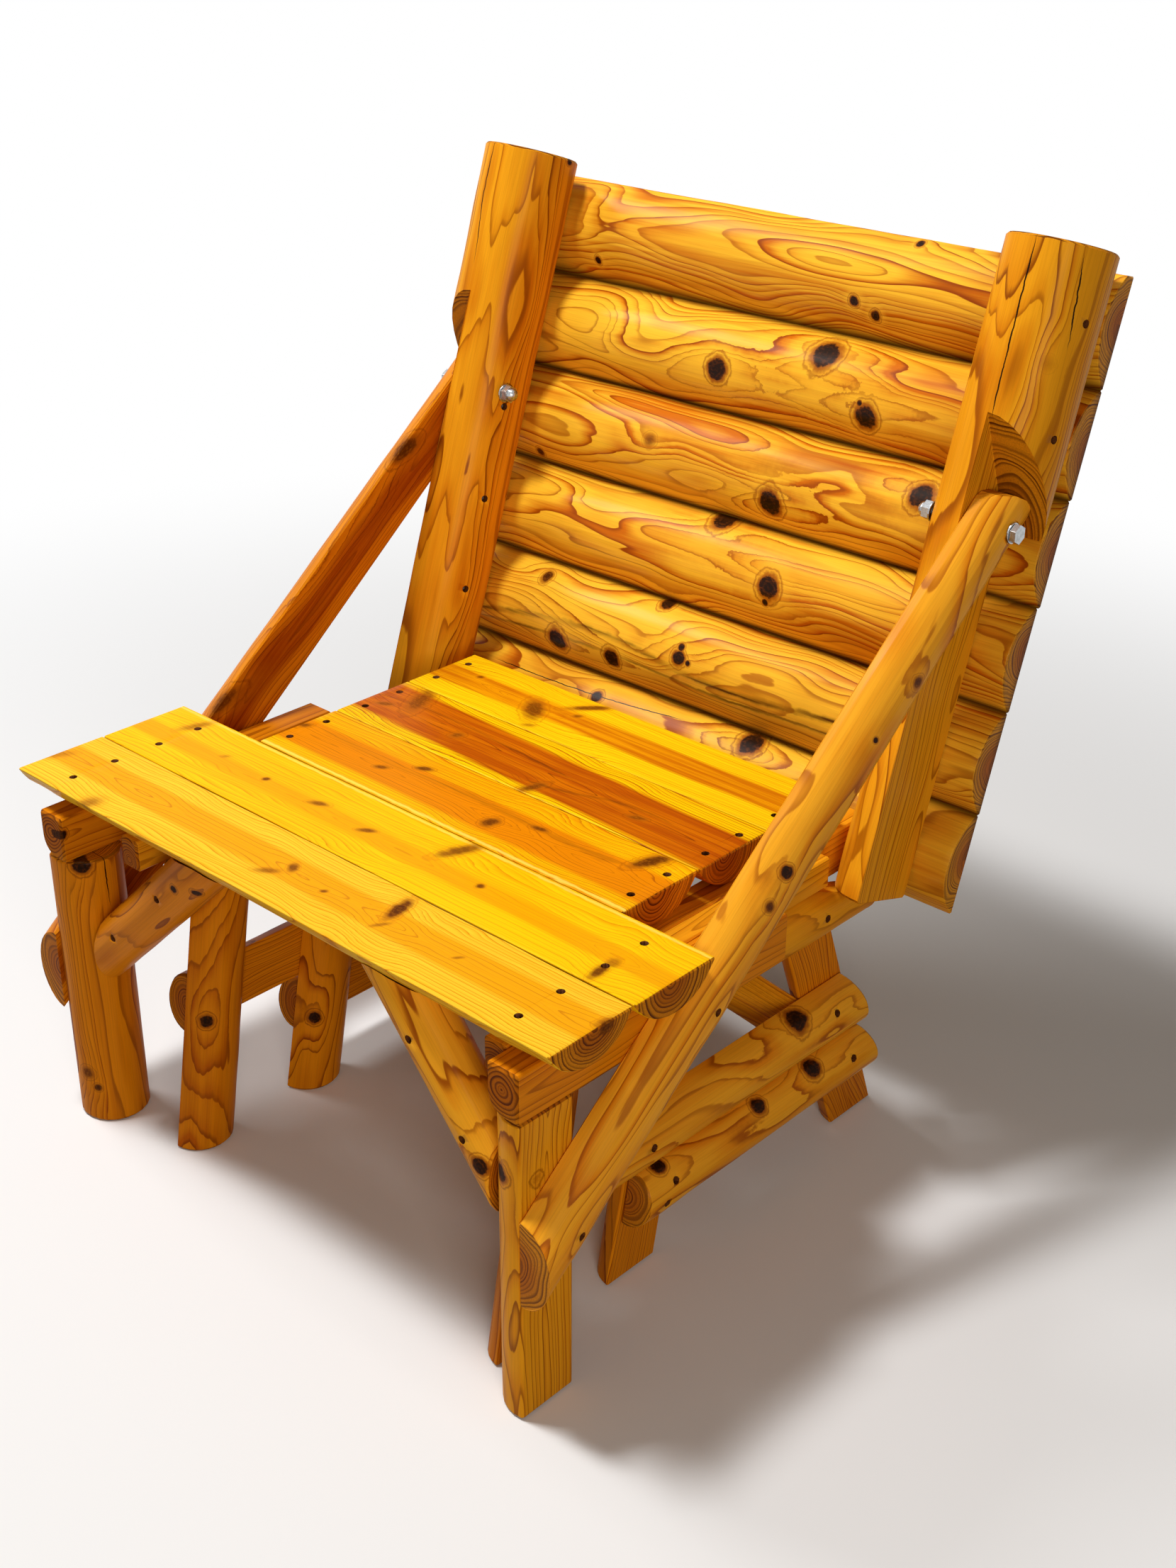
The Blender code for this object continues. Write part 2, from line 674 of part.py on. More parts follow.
def back_post(side, label, hinge, wood):
    """Log with a flat back, halved below the notch where the arm brace laps it.

    The hinge's frame has Y to the rear of the backrest and Z up its posts.
    """
    radius = POST_DIAMETER / 2
    chord = 2 * math.sqrt(radius ** 2 - POST_BACK_FLAT ** 2)
    foot = Vector((side * FRAME_HALF_WIDTH, POST_FLAT, -POST_BELOW_PIVOT))
    post = timber(
        f"back_post_{label}",
        half_log(chord, radius + POST_BACK_FLAT, steps=ROUND_STEPS),
        foot,
        foot + AXIS_Z * (POST_BELOW_PIVOT + POST_ABOVE_PIVOT),
        -AXIS_Y,
        hinge,
        wood,
    )
    boolean(post, notch_tool(side, label, hinge))
    hole = BOLT_DIAMETER / 2 + FIT
    spot = WASHER_DIAMETER / 2 + SPOT_FACE_MARGIN
    seat = FRAME_HALF_WIDTH - radius + POST_SPOT_DEPTH
    near = seat - OVERRUN
    far = FRAME_HALF_WIDTH + OVERRUN
    bore(post, ((0, near), (spot, near), (spot, seat), (hole, seat), (hole, far), (0, far)), hinge, side)
    middle = POST_BEHIND_PIVOT
    reach = radius * POST_SCREW_SIDE_SHARE
    depth = math.sqrt(radius ** 2 - reach ** 2)
    places = []
    for index in range(SLAT_COUNT):
        height = slat_height(index)
        outer = height > POST_ABOVE_PIVOT / 4
        hand = side if outer else -side
        point = Vector((side * FRAME_HALF_WIDTH + hand * reach, middle - depth, height))
        places.append((point, Vector((-hand * reach, depth, 0)) / radius))
    drill(post, places, hinge)


def notch_tool(side, label, hinge):
    """Cutter for the lap. Its upper face comes to lie along the brace when the back is folded."""
    turn = math.pi / 2 + BACK_LEAN
    slope = BRACE_PITCH + math.pi / 2 - turn + BACK_LEAN
    normal = Vector((0, math.cos(slope), math.sin(slope)))
    level = Vector((0, -math.sin(slope), math.cos(slope)))
    face = normal * (BRACE_HEAD_WIDTH / 2 + NOTCH_CLEARANCE)
    reach = POST_BELOW_PIVOT + POST_ABOVE_PIVOT
    corners = (face + level * reach, face - level * reach)
    corners += tuple(corner - normal * 2 * reach for corner in reversed(corners))
    bm = bmesh.new()
    prism(bm, [(corner.y, corner.z) for corner in corners], POST_DIAMETER)
    tool = add_object(f"back_post_{label}_notch", bm, hinge)
    inner = FRAME_HALF_WIDTH if side > 0 else -FRAME_HALF_WIDTH - POST_DIAMETER
    tool.matrix_local = Matrix.Translation((inner, 0, 0)) @ Matrix(
        ((0, 0, 1, 0), (1, 0, 0, 0), (0, 1, 0, 0), (0, 0, 0, 1))
    )
    return tool


def slat_height(index):
    """Height of a slat's middle above the pivot, along the posts."""
    return index * SLAT_PITCH + SLAT_WIDTH / 2 - POST_BELOW_PIVOT - SLAT_DROP


def back_slats(hinge, shades):
    """Half logs behind the posts, crowns forward. The flat sides make the table top."""
    for index in range(SLAT_COUNT):
        topmost = index == SLAT_COUNT - 1
        width = TOP_SLAT_LOG_WIDTH if topmost else SLAT_WIDTH
        middle = slat_height(index) + (width - SLAT_WIDTH) / 2
        length = SLAT_LENGTH * SLAT_LENGTH_SHARES[index % len(SLAT_LENGTH_SHARES)]
        start = Vector((-length / 2, SLAT_FLAT, middle))
        timber(
            f"back_slat_{index + 1}",
            half_log(width, SLAT_THICKNESS),
            start,
            start + AXIS_X * length,
            -AXIS_Y,
            hinge,
            shades[index % len(shades)],
            cuts=((Vector((0, 0, SLATS_TOP)), AXIS_Z),),
        )


def hexagon(width):
    """Outline of a hexagon by its width across flats."""
    return round_log(width / math.cos(math.pi / 6), 6)


def hardware(name, bm, place, side, frame, steel):
    """Places a piece made along W on the pivot axis."""
    made = add_object(name, bm, frame, steel)
    made.location = PIVOT + AXIS_X * side * place
    made.rotation_euler = (0, side * math.pi / 2, 0)
    return made


def pivot_hardware(side, label, frame, steel):
    """Hexagon bolt, two washers and a cap nut on one side's pivot."""
    washer_hole = BOLT_DIAMETER / 2 + FIT
    outer_seat = BRACE_FACE + BRACE_THICKNESS - BRACE_SPOT_DEPTH
    inner_seat = FRAME_HALF_WIDTH - POST_DIAMETER / 2 + POST_SPOT_DEPTH
    seats = (("outer", outer_seat + FIT), ("inner", inner_seat - FIT - WASHER_THICKNESS))
    for name, seat in seats:
        bm = bmesh.new()
        ring = [(washer_hole, 0), (WASHER_DIAMETER / 2, 0)]
        ring += [(radius, WASHER_THICKNESS) for radius, _ in reversed(ring)]
        turned(bm, ring + ring[:1], BORE_SIDES)
        bmesh.ops.remove_doubles(bm, verts=bm.verts, dist=FIT / 10)
        hardware(f"pivot_washer_{name}_{label}", bm, seat, side, frame, steel)
    head_seat = outer_seat + 2 * FIT + WASHER_THICKNESS
    nut_seat = inner_seat - 2 * FIT - WASHER_THICKNESS
    thread_end = nut_seat - NUT_HEX_HEIGHT - NUT_WALL
    shank = bmesh.new()
    radius = BOLT_DIAMETER / 2
    tip = thread_end - head_seat
    inside = BOLT_HEAD_HEIGHT / 2
    profile = ((0, tip), (radius - FIT, tip), (radius, tip + FIT), (radius, inside), (0, inside))
    turned(shank, profile, BORE_SIDES)
    bolt = hardware(f"pivot_bolt_{label}", shank, head_seat, side, frame, steel)
    head = bmesh.new()
    prism(head, hexagon(BOLT_HEAD_WIDTH), BOLT_HEAD_HEIGHT)
    boolean(bolt, hardware(f"pivot_bolt_{label}_head", head, head_seat, side, frame, steel), "UNION")
    cap = bmesh.new()
    prism(cap, hexagon(BOLT_HEAD_WIDTH), NUT_HEX_HEIGHT)
    nut = hardware(f"cap_nut_{label}", cap, nut_seat - NUT_HEX_HEIGHT, side, frame, steel)
    dome = bmesh.new()
    steps = ROUND_STEPS // 4
    angles = [math.pi / 2 * step / steps for step in range(steps)]
    profile = [(NUT_DOME_RADIUS * math.cos(a), -NUT_DOME_RADIUS * math.sin(a)) for a in angles]
    profile = [(0, NUT_WALL), (NUT_DOME_RADIUS, NUT_WALL), *profile, (0, -NUT_DOME_RADIUS)]
    turned(dome, profile, BORE_SIDES)
    tool = hardware(f"cap_nut_{label}_dome", dome, nut_seat - NUT_HEX_HEIGHT, side, frame, steel)
    boolean(nut, tool, "UNION")
    hole = bmesh.new()
    prism(hole, round_log(BOLT_DIAMETER + 2 * FIT, BORE_SIDES), NUT_HEX_HEIGHT + NUT_WALL + FIT + OVERRUN)
    boolean(nut, hardware(f"cap_nut_{label}_hole", hole, thread_end - FIT, side, frame, steel))


def main():
    clear_scene()
    pale = surface("cedar_pale", (0.82, 0.50, 0.13), 0.32)
    amber = surface("cedar_amber", (0.72, 0.35, 0.06), 0.32)
    orange = surface("cedar_orange", (0.66, 0.27, 0.04), 0.32)
    heart = surface("cedar_heartwood", (0.42, 0.13, 0.03), 0.30)
    steel = surface("bright_steel", (0.62, 0.62, 0.60), 0.22, 1.0)
    frame = empty("seat_frame", Vector((0, -OVERALL_DEPTH / 2, 0)))
    hinge = empty("backrest_hinge", PIVOT, BACK_LEAN, frame)
    seat_planks(frame, (pale, pale, orange, heart, amber))
    woods = {"leg": amber, "rail": orange, "stretcher": amber}
    sides = ((1, "right"), (-1, "left"))
    faces = {"right": TRESTLE_FACE_RIGHT, "left": TRESTLE_FACE_LEFT}
    depths = {"right": FRONT_LEG_DEPTH_RIGHT, "left": FRONT_LEG_DEPTH_LEFT}
    knees = {
        "right": (KNEE_DROP_RIGHT, KNEE_PITCH_RIGHT),
        "left": (KNEE_DROP_LEFT, KNEE_PITCH_LEFT),
    }
    for side, label in sides:
        outer_side(side, label, depths[label], frame, amber)
        knee_brace(side, label, depths[label], *knees[label], faces[label], frame, amber)
        trestle(side, label, faces[label], frame, woods)
        arm_brace(side, label, frame, amber)
        back_post(side, label, hinge, amber)
        pivot_hardware(side, label, frame, steel)
    cross_tie(frame, orange)
    back_slats(hinge, (amber, pale, amber))


main()
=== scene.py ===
import json
import math

import bmesh
import bpy
from mathutils import Matrix, Vector, noise

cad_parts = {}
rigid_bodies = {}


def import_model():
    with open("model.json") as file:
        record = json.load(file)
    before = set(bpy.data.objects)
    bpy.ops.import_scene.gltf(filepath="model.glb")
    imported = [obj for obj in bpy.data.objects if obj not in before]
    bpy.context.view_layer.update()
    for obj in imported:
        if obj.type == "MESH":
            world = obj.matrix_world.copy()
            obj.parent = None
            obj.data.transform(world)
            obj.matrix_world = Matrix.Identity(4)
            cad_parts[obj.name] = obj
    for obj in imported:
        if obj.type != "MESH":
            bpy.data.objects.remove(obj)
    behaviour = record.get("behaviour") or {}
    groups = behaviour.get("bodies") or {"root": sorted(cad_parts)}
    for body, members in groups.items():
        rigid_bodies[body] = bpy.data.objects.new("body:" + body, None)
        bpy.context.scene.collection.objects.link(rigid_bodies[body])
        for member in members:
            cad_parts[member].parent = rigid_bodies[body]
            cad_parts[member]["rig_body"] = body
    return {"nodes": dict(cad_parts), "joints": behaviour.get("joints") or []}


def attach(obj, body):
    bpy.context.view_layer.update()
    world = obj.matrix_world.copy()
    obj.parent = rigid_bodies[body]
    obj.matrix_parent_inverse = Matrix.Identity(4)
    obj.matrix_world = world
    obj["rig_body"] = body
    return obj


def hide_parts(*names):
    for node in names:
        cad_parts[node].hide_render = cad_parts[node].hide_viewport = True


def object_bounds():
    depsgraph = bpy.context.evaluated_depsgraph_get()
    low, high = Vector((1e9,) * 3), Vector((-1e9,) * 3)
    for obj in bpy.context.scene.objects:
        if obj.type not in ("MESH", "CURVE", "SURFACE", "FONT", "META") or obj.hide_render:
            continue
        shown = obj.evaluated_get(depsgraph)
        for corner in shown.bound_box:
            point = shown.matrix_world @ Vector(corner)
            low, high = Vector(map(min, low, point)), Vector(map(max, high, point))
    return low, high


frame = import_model()
cad_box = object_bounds()
nodes = frame["nodes"]

X = Vector((1, 0, 0))
Y = Vector((0, 1, 0))
Z = Vector((0, 0, 1))

# Angles of the timbers in degrees: leans from upright, rises from level
BACK_LEAN = 18.4
BRACE_RISE = 39
KNEE_RISE = {"right": 49, "left": 43}
TRESTLE_LEANS = (("front", 9.5), ("middle", 11), ("rear", -20.3))


def leaning(degrees):
    lean = math.radians(degrees)
    return Vector((0, math.sin(lean), math.cos(lean)))


POST_UP = leaning(BACK_LEAN)
POST_REAR = Vector((0, POST_UP.z, -POST_UP.y))
BRACE_UP = leaning(90 - BRACE_RISE)
PIVOT_Y = frame["joints"][0]["pos_m"][1]

# Colours that all the timbers share
RESIN = (0.075, 0.017, 0.002, 1.0)
# Painted highlight along the rounded edges of the seat planks
PAINTED_EDGE_HIGHLIGHT = (1.0, 0.80, 0.14, 1.0)
# Painted shade in the seams between the slats
SEAM_PAINTED_SHADE = (0.055, 0.014, 0.001, 1.0)
CRACK_BOTTOM = (0.012, 0.004, 0.001, 1.0)
KNOT_EDGE = (0.36, 0.095, 0.003, 1.0)
KNOT_LIVE = (0.26, 0.060, 0.002, 1.0)
KNOT_DEAD = (0.022, 0.005, 0.0005, 1.0)
KNOT_LIVE_SPECK = (0.46, 0.14, 0.006, 1.0)
KNOT_DEAD_SPECK = (0.13, 0.030, 0.002, 1.0)
KNOT_CENTRE = (0.010, 0.0025, 0.0004, 1.0)
SAWN_HEART = (0.46, 0.120, 0.003, 1.0)
SAWN_SAP = (0.70, 0.25, 0.006, 1.0)
SAWN_FIBRE = (0.22, 0.055, 0.004, 1.0)
SAWN_RING = (0.085, 0.015, 0.001, 1.0)

# How fine the wood's noises are, per metre: twice across the log, then along it
BROAD = (14.0, 14.0, 3.4)
RIPPLE = (55.0, 55.0, 9.0)
STRAND = (160.0, 160.0, 5.0)
SPECK = (420.0, 420.0, 210.0)
GRAIN = (900.0, 900.0, 14.0)
# In metres: half the width over which heartwood turns to sapwood, and the length over which a trace tapers
HEART_BLUR = 0.004
TAPER_LENGTH = 0.04


class Tree:
    """Small helper that adds and links shader nodes."""

    def __init__(self, tree):
        self.tree = tree

    def node(self, kind, **settings):
        made = self.tree.nodes.new(kind)
        for key, value in settings.items():
            setattr(made, key, value)
        return made

    def feed(self, socket, value):
        if isinstance(value, bpy.types.NodeSocket):
            self.tree.links.new(value, socket)
        elif value is not None:
            socket.default_value = value

    def feed_all(self, node, values):
        for key, value in values.items():
            self.feed(node.inputs[key], value)

    def math(self, operation, a, b=None, c=None, clamp=False):
        made = self.node("ShaderNodeMath", operation=operation, use_clamp=clamp)
        for socket, value in zip(made.inputs, (a, b, c)):
            self.feed(socket, value)
        return made.outputs[0]

    def times(self, first, *others):
        for other in others:
            first = self.math("MULTIPLY", first, other)
        return first

    def plus(self, first, *others):
        for other in others:
            first = self.math("ADD", first, other)
        return first

    def vector(self, operation, a, b=None, scale=None):
        made = self.node("ShaderNodeVectorMath", operation=operation)
        self.feed(made.inputs[0], a)
        self.feed(made.inputs[1], b)
        if scale is not None:
            self.feed(made.inputs["Scale"], scale)
        return made.outputs["Value" if operation in ("LENGTH", "DOT_PRODUCT") else "Vector"]

    def join(self, x=0.0, y=0.0, z=0.0):
        made = self.node("ShaderNodeCombineXYZ")
        for socket, value in zip(made.inputs, (x, y, z)):
            self.feed(socket, value)
        return made.outputs[0]

    def split(self, vector):
        made = self.node("ShaderNodeSeparateXYZ")
        self.feed(made.inputs[0], vector)
        return made.outputs

    def noise(self, vector, scale, detail=2.0, roughness=0.5, distortion=0.0):
        made = self.node("ShaderNodeTexNoise")
        self.feed_all(made, {"Vector": vector, "Scale": scale, "Detail": detail})
        self.feed_all(made, {"Roughness": roughness, "Distortion": distortion})
        return made.outputs["Fac"]

    def along(self, w, scale, detail=2.0, roughness=0.5):
        """Noise that varies in one direction only."""
        made = self.node("ShaderNodeTexNoise", noise_dimensions="1D")
        self.feed_all(made, {"W": w, "Scale": scale, "Detail": detail, "Roughness": roughness})
        return made.outputs["Fac"]

    def random(self, w):
        made = self.node("ShaderNodeTexWhiteNoise", noise_dimensions="1D")
        self.feed(made.inputs["W"], w)
        return made.outputs["Value"]

    def step(self, value, low, high, to_low=0.0, to_high=1.0):
        """Smooth step between two levels of the value."""
        made = self.node("ShaderNodeMapRange", interpolation_type="SMOOTHSTEP")
        for socket, item in zip(made.inputs, (value, low, high, to_low, to_high)):
            self.feed(socket, item)
        return made.outputs[0]

    def mix(self, factor, a, b, blend="MIX"):
        made = self.node("ShaderNodeMix", data_type="RGBA", blend_type=blend)
        self.feed_all(made, {0: factor, 6: a, 7: b})
        return made.outputs[2]

    def bump(self, shader, height, strength, distance):
        made = self.node("ShaderNodeBump")
        self.feed_all(made, {"Strength": strength, "Distance": distance, "Height": height})
        self.feed(shader.inputs["Normal"], made.outputs[0])

    def seen_directly(self):
        """1 for camera, mirror and glass rays, 0 for light that bounces."""
        paths = self.node("ShaderNodeLightPath")
        seen = self.math("MAXIMUM", paths.outputs["Is Camera Ray"], paths.outputs["Is Glossy Ray"])
        return self.math("MAXIMUM", seen, paths.outputs["Is Transmission Ray"])


def new_material(name):
    material = bpy.data.materials.new(name)
    material.use_nodes = True
    return material, Tree(material.node_tree), material.node_tree.nodes["Principled BSDF"]


FLOAT = "NodeSocketFloat"
VECTOR = "NodeSocketVector"
COLOUR = "NodeSocketColor"


def group(name, inputs, outputs):
    tree = bpy.data.node_groups.new(name, "ShaderNodeTree")
    for label, kind, value in inputs:
        socket = tree.interface.new_socket(label, in_out="INPUT", socket_type=kind)
        if value is not None:
            socket.default_value = value
    for label, kind in outputs:
        tree.interface.new_socket(label, in_out="OUTPUT", socket_type=kind)
    build = Tree(tree)
    return build, build.node("NodeGroupInput").outputs, build.node("NodeGroupOutput").inputs


def knot_group():
    """A branch: how near a place is to it, how dark it is, and how far it bends the rings."""
    t, given, out = group(
        "knot",
        (
            ("Log", VECTOR, None),
            ("Centre", VECTOR, None),
            ("Axis", VECTOR, (0, 1, 0)),
            ("Inward", FLOAT, 0.02),
            ("Long", FLOAT, 9.0),
            ("Size", FLOAT, 0.008),
            ("Bend", FLOAT, 1.0),
            ("Depth", FLOAT, 1.0),
            ("Wobble", FLOAT, 0.0),
            ("Reach", FLOAT, 99.0),
            ("Dark", FLOAT, 0.0),
            ("Shift", FLOAT, 0.0),
        ),
        (("Reach", FLOAT), ("Dark", FLOAT), ("Shift", FLOAT)),
    )
    away = t.vector("SUBTRACT", given["Log"], given["Centre"])
    ahead = t.vector("DOT_PRODUCT", away, given["Axis"])
    aside = t.vector("LENGTH", t.vector("CROSS_PRODUCT", away, given["Axis"]))
    before = t.math("MAXIMUM", t.math("SUBTRACT", t.times(ahead, -1.0), given["Inward"]), 0.0)
    parts = t.join(
        t.math("DIVIDE", aside, given["Size"]),
        t.math("DIVIDE", before, given["Size"]),
        t.math("DIVIDE", ahead, given["Long"]),
    )
    reach = t.plus(t.vector("LENGTH", parts), given["Wobble"])
    nearer = t.math("LESS_THAN", reach, given["Reach"])
    dark = t.plus(given["Dark"], t.times(nearer, t.math("SUBTRACT", given["Depth"], given["Dark"])))
    squeezed = t.vector("CROSS_PRODUCT", t.vector("MULTIPLY", away, (1.0, 1.0, 0.45)), given["Axis"])
    around = t.math("DIVIDE", t.vector("LENGTH", squeezed), given["Size"])
    around = t.plus(around, t.times(given["Wobble"], 0.7))
    shift = t.times(t.step(around, 0.2, 3.6, 1.0, 0.0), given["Size"], given["Bend"])
    t.feed(out["Reach"], t.math("MINIMUM", reach, given["Reach"]))
    t.feed(out["Dark"], dark)
    t.feed(out["Shift"], t.plus(shift, given["Shift"]))
    return t.tree


def trace_group():
    """A line that runs along a timber: a drying crack when thin, a resin streak when wide, and the painted
    highlight along a plank's rounded edge.
    """
    t, given, out = group(
        "trace",
        (
            ("Log", VECTOR, None),
            ("Middle", FLOAT, 0.0),
            ("Half", FLOAT, 0.0004),
            ("Soft", FLOAT, 0.3),
            ("Start", FLOAT, 0.0),
            ("End", FLOAT, 1.0),
            ("Low", FLOAT, -1.0),
            ("Strength", FLOAT, 1.0),
            ("Trace", FLOAT, 0.0),
        ),
        (("Trace", FLOAT),),
    )
    x, y, z = t.split(given["Log"])
    wander = t.math("SUBTRACT", t.along(z, 60.0, 3.0, 0.6), 0.5)
    wander = t.times(wander, t.plus(t.times(given["Half"], 0.7), 0.0012))
    distance = t.math("ABSOLUTE", t.plus(t.math("SUBTRACT", x, given["Middle"]), wander))
    taper = t.times(
        t.step(z, given["Start"], t.plus(given["Start"], TAPER_LENGTH)),
        t.step(z, t.math("SUBTRACT", given["End"], TAPER_LENGTH), given["End"], 1.0, 0.0),
    )
    half = t.times(given["Half"], taper, t.plus(0.5, t.along(z, 31.0)))
    inner = t.times(half, t.math("SUBTRACT", 1.0, given["Soft"]))
    outer = t.plus(t.times(half, t.plus(given["Soft"], 1.0)), 0.0001)
    line = t.times(t.step(distance, inner, outer, 1.0, 0.0), given["Strength"], t.step(taper, 0.0, 0.2))
    line = t.times(line, t.math("GREATER_THAN", y, given["Low"]))
    t.feed(out["Trace"], t.math("MAXIMUM", line, given["Trace"]))
    return t.tree


def wood_group():
    """Growth rings about the log's pith, with heartwood, fibre, knots and sawn ends."""
    t, given, out = group(
        "log_wood",
        (
            ("Log", VECTOR, None),
            ("Normal", VECTOR, None),
            ("Seed", FLOAT, 0.0),
            ("Ring", FLOAT, 0.003),
            ("Swirl", FLOAT, 0.006),
            ("Drift", FLOAT, 0.0),
            ("Heart", FLOAT, 0.0),
            ("Line", FLOAT, 0.6),
            ("Cloud", FLOAT, 0.5),
            ("Pale", COLOUR, (0.9, 0.5, 0.05, 1)),
            ("Deep", COLOUR, (0.7, 0.3, 0.02, 1)),
            ("Heartwood", COLOUR, (0.5, 0.12, 0.01, 1)),
            ("Late", COLOUR, (0.3, 0.09, 0.005, 1)),
            ("Reach", FLOAT, 99.0),
            ("Dark", FLOAT, 0.0),
            ("Shift", FLOAT, 0.0),
            ("Streak", FLOAT, 0.0),
            ("Rim", FLOAT, 0.0),
            ("Seam", FLOAT, 0.0),
            ("Crack", FLOAT, 0.0),
            ("Cut", FLOAT, 0.5),
        ),
        (("Color", COLOUR), ("Roughness", FLOAT), ("Height", FLOAT)),
    )
    x, y, z = t.split(given["Log"])
    offset = t.join(t.times(given["Seed"], 1.37), t.times(given["Seed"], 2.11), t.times(given["Seed"], 0.73))
    moved = t.vector("ADD", given["Log"], offset)
    broad = t.vector("MULTIPLY", moved, BROAD)
    fine = t.vector("MULTIPLY", moved, RIPPLE)
    swirl = t.math("SUBTRACT", t.noise(broad, 1.0, 1.2, 0.4, 0.35), 0.5)
    ripple = t.math("SUBTRACT", t.noise(fine, 1.0, 1.2, 0.4), 0.5)
    pith = t.times(t.math("SUBTRACT", t.along(t.plus(z, given["Seed"]), 4.0, 1.0), 0.5), given["Swirl"], 2.0)
    flat = t.join(t.plus(x, t.times(z, given["Drift"]), pith), y)
    radius = t.vector("LENGTH", flat)
    straight = t.plus(radius, t.times(swirl, given["Swirl"], 4.0), t.times(ripple, given["Ring"], 0.55))
    age = t.math("SUBTRACT", straight, given["Shift"])
    count = t.plus(t.math("DIVIDE", age, given["Ring"]), given["Seed"])
    count = t.plus(count, t.times(t.along(count, 0.35, 1.0), 2.0))
    number = t.math("FLOOR", count)
    within = t.math("FRACT", count)
    bold = t.plus(t.times(t.random(number), 0.62), 0.38)
    close = t.step(within, 0.95, 1.0, 1.0, 0.0)
    soft = t.times(t.step(within, 0.15, 0.95), close, bold)
    late = t.times(t.step(within, 0.74, 0.94), close, bold)
    shade = t.noise(t.vector("MULTIPLY", moved, STRAND), 1.0, 3.0, 0.6)
    blotch = t.noise(broad, 0.6, 3.0, 0.6)
    grown = t.times(soft, t.plus(t.times(t.random(t.plus(number, 57.3)), 0.9), 0.5))
    cloud = t.math("SUBTRACT", t.plus(t.times(shade, 0.7), t.times(blotch, 1.3)), 0.97)
    cloud = t.times(cloud, given["Cloud"], 2.4)
    sap = t.mix(t.math("ADD", grown, cloud, clamp=True), given["Pale"], given["Deep"])
    # Heartwood, where the timber has any
    edge = t.plus(straight, t.times(t.math("SUBTRACT", shade, 0.5), 0.006))
    heart = given["Heart"]
    inside = t.step(edge, t.math("SUBTRACT", heart, HEART_BLUR), t.plus(heart, HEART_BLUR), 1.0, 0.0)
    inside = t.times(inside, t.math("GREATER_THAN", heart, 0.0005))
    inner = t.mix(t.step(shade, 0.36, 0.66, 0.0, 0.75), given["Heartwood"], given["Deep"])
    colour = t.mix(inside, sap, inner)
    colour = t.mix(t.times(late, given["Line"]), colour, given["Late"])
    grain = t.noise(t.vector("MULTIPLY", moved, GRAIN), 1.0, 2.0, 0.6)
    colour = t.mix(t.step(grain, 0.35, 0.8, 0.0, 0.20), colour, given["Late"])
    # Streaks of resin
    resin = t.times(given["Streak"], t.step(shade, 0.30, 0.58, 1.0, 0.35))
    colour = t.mix(resin, colour, RESIN)
    # Painted highlight along the planks' rounded edges
    colour = t.mix(given["Rim"], colour, PAINTED_EDGE_HIGHLIGHT)
    # Knots, from the outside in. Near is 1 at a knot's edge
    near = given["Reach"]
    dark = given["Dark"]
    halo = t.mix(t.math("MULTIPLY", given["Cut"], 4.0, clamp=True), given["Deep"], given["Pale"])
    colour = t.mix(t.times(t.step(near, 1.3, 3.4, 0.42, 0.0), dark), colour, halo)
    colour = t.mix(t.times(t.step(near, 1.05, 1.55, 0.95, 0.0), dark), colour, KNOT_EDGE)
    outline = t.times(t.step(near, 1.42, 1.55), t.step(near, 1.58, 1.75, 0.6, 0.0), dark)
    colour = t.mix(outline, colour, given["Late"])
    speck = t.noise(t.vector("MULTIPLY", moved, SPECK), 1.0, 3.0, 0.6)
    hoop = t.plus(t.times(t.math("SINE", t.times(near, 15.0)), 0.07), speck)
    deepness = t.times(dark, dark)
    speckled = t.mix(deepness, KNOT_LIVE_SPECK, KNOT_DEAD_SPECK)
    knot = t.mix(t.step(hoop, 0.42, 0.72), t.mix(deepness, KNOT_LIVE, KNOT_DEAD), speckled)
    knot = t.mix(t.times(t.step(near, 0.3, 0.9, 1.0, 0.0), dark, dark, 0.8), knot, KNOT_CENTRE)
    faint = t.math("SUBTRACT", 1.0, dark)
    inner_edge = t.math("SUBTRACT", 0.90, t.times(faint, 0.9))
    core = t.step(near, inner_edge, t.plus(1.06, t.times(faint, 0.25)), 1.0, 0.0)
    core = t.times(core, t.math("MULTIPLY", dark, 1.5, clamp=True))
    colour = t.mix(core, colour, knot)
    # Sawn ends
    facing = t.math("ABSOLUTE", t.vector("DOT_PRODUCT", given["Normal"], (0.0, 0.0, 1.0)))
    sawn = t.step(facing, 0.50, 0.62)
    centre = t.mix(t.times(given["Cut"], 0.7), SAWN_HEART, given["Deep"])
    outside = t.mix(given["Cut"], SAWN_SAP, given["Pale"])
    ends = t.mix(t.step(radius, 0.012, 0.040), centre, outside)
    ends = t.mix(t.step(grain, 0.3, 0.8, 0.0, 0.4), ends, SAWN_FIBRE)
    ring = t.times(t.step(within, 0.30, 0.80), t.step(within, 0.90, 1.0, 1.0, 0.0), t.plus(bold, 0.1))
    ends = t.mix(t.times(ring, 0.9), ends, SAWN_RING)
    ends = t.mix(t.times(core, 0.9), ends, knot)
    colour = t.mix(sawn, colour, ends)
    # Painted shade along the seams where the slats meet
    colour = t.mix(given["Seam"], colour, SEAM_PAINTED_SHADE)
    colour = t.mix(given["Crack"], colour, CRACK_BOTTOM)
    t.feed(out["Color"], colour)
    rough = t.plus(0.30, t.times(grain, 0.14), t.times(shade, 0.10), t.times(sawn, 0.25), t.times(core, 0.2))
    t.feed(out["Roughness"], rough)
    height = t.plus(t.times(late, 0.25), t.times(grain, 0.22), t.times(shade, 0.45))
    height = t.math("SUBTRACT", height, t.plus(t.times(core, speck, 1.2), t.times(given["Crack"], 3.0)))
    t.feed(out["Height"], height)
    return t.tree


KNOT = knot_group()
TRACE = trace_group()
WOOD = wood_group()

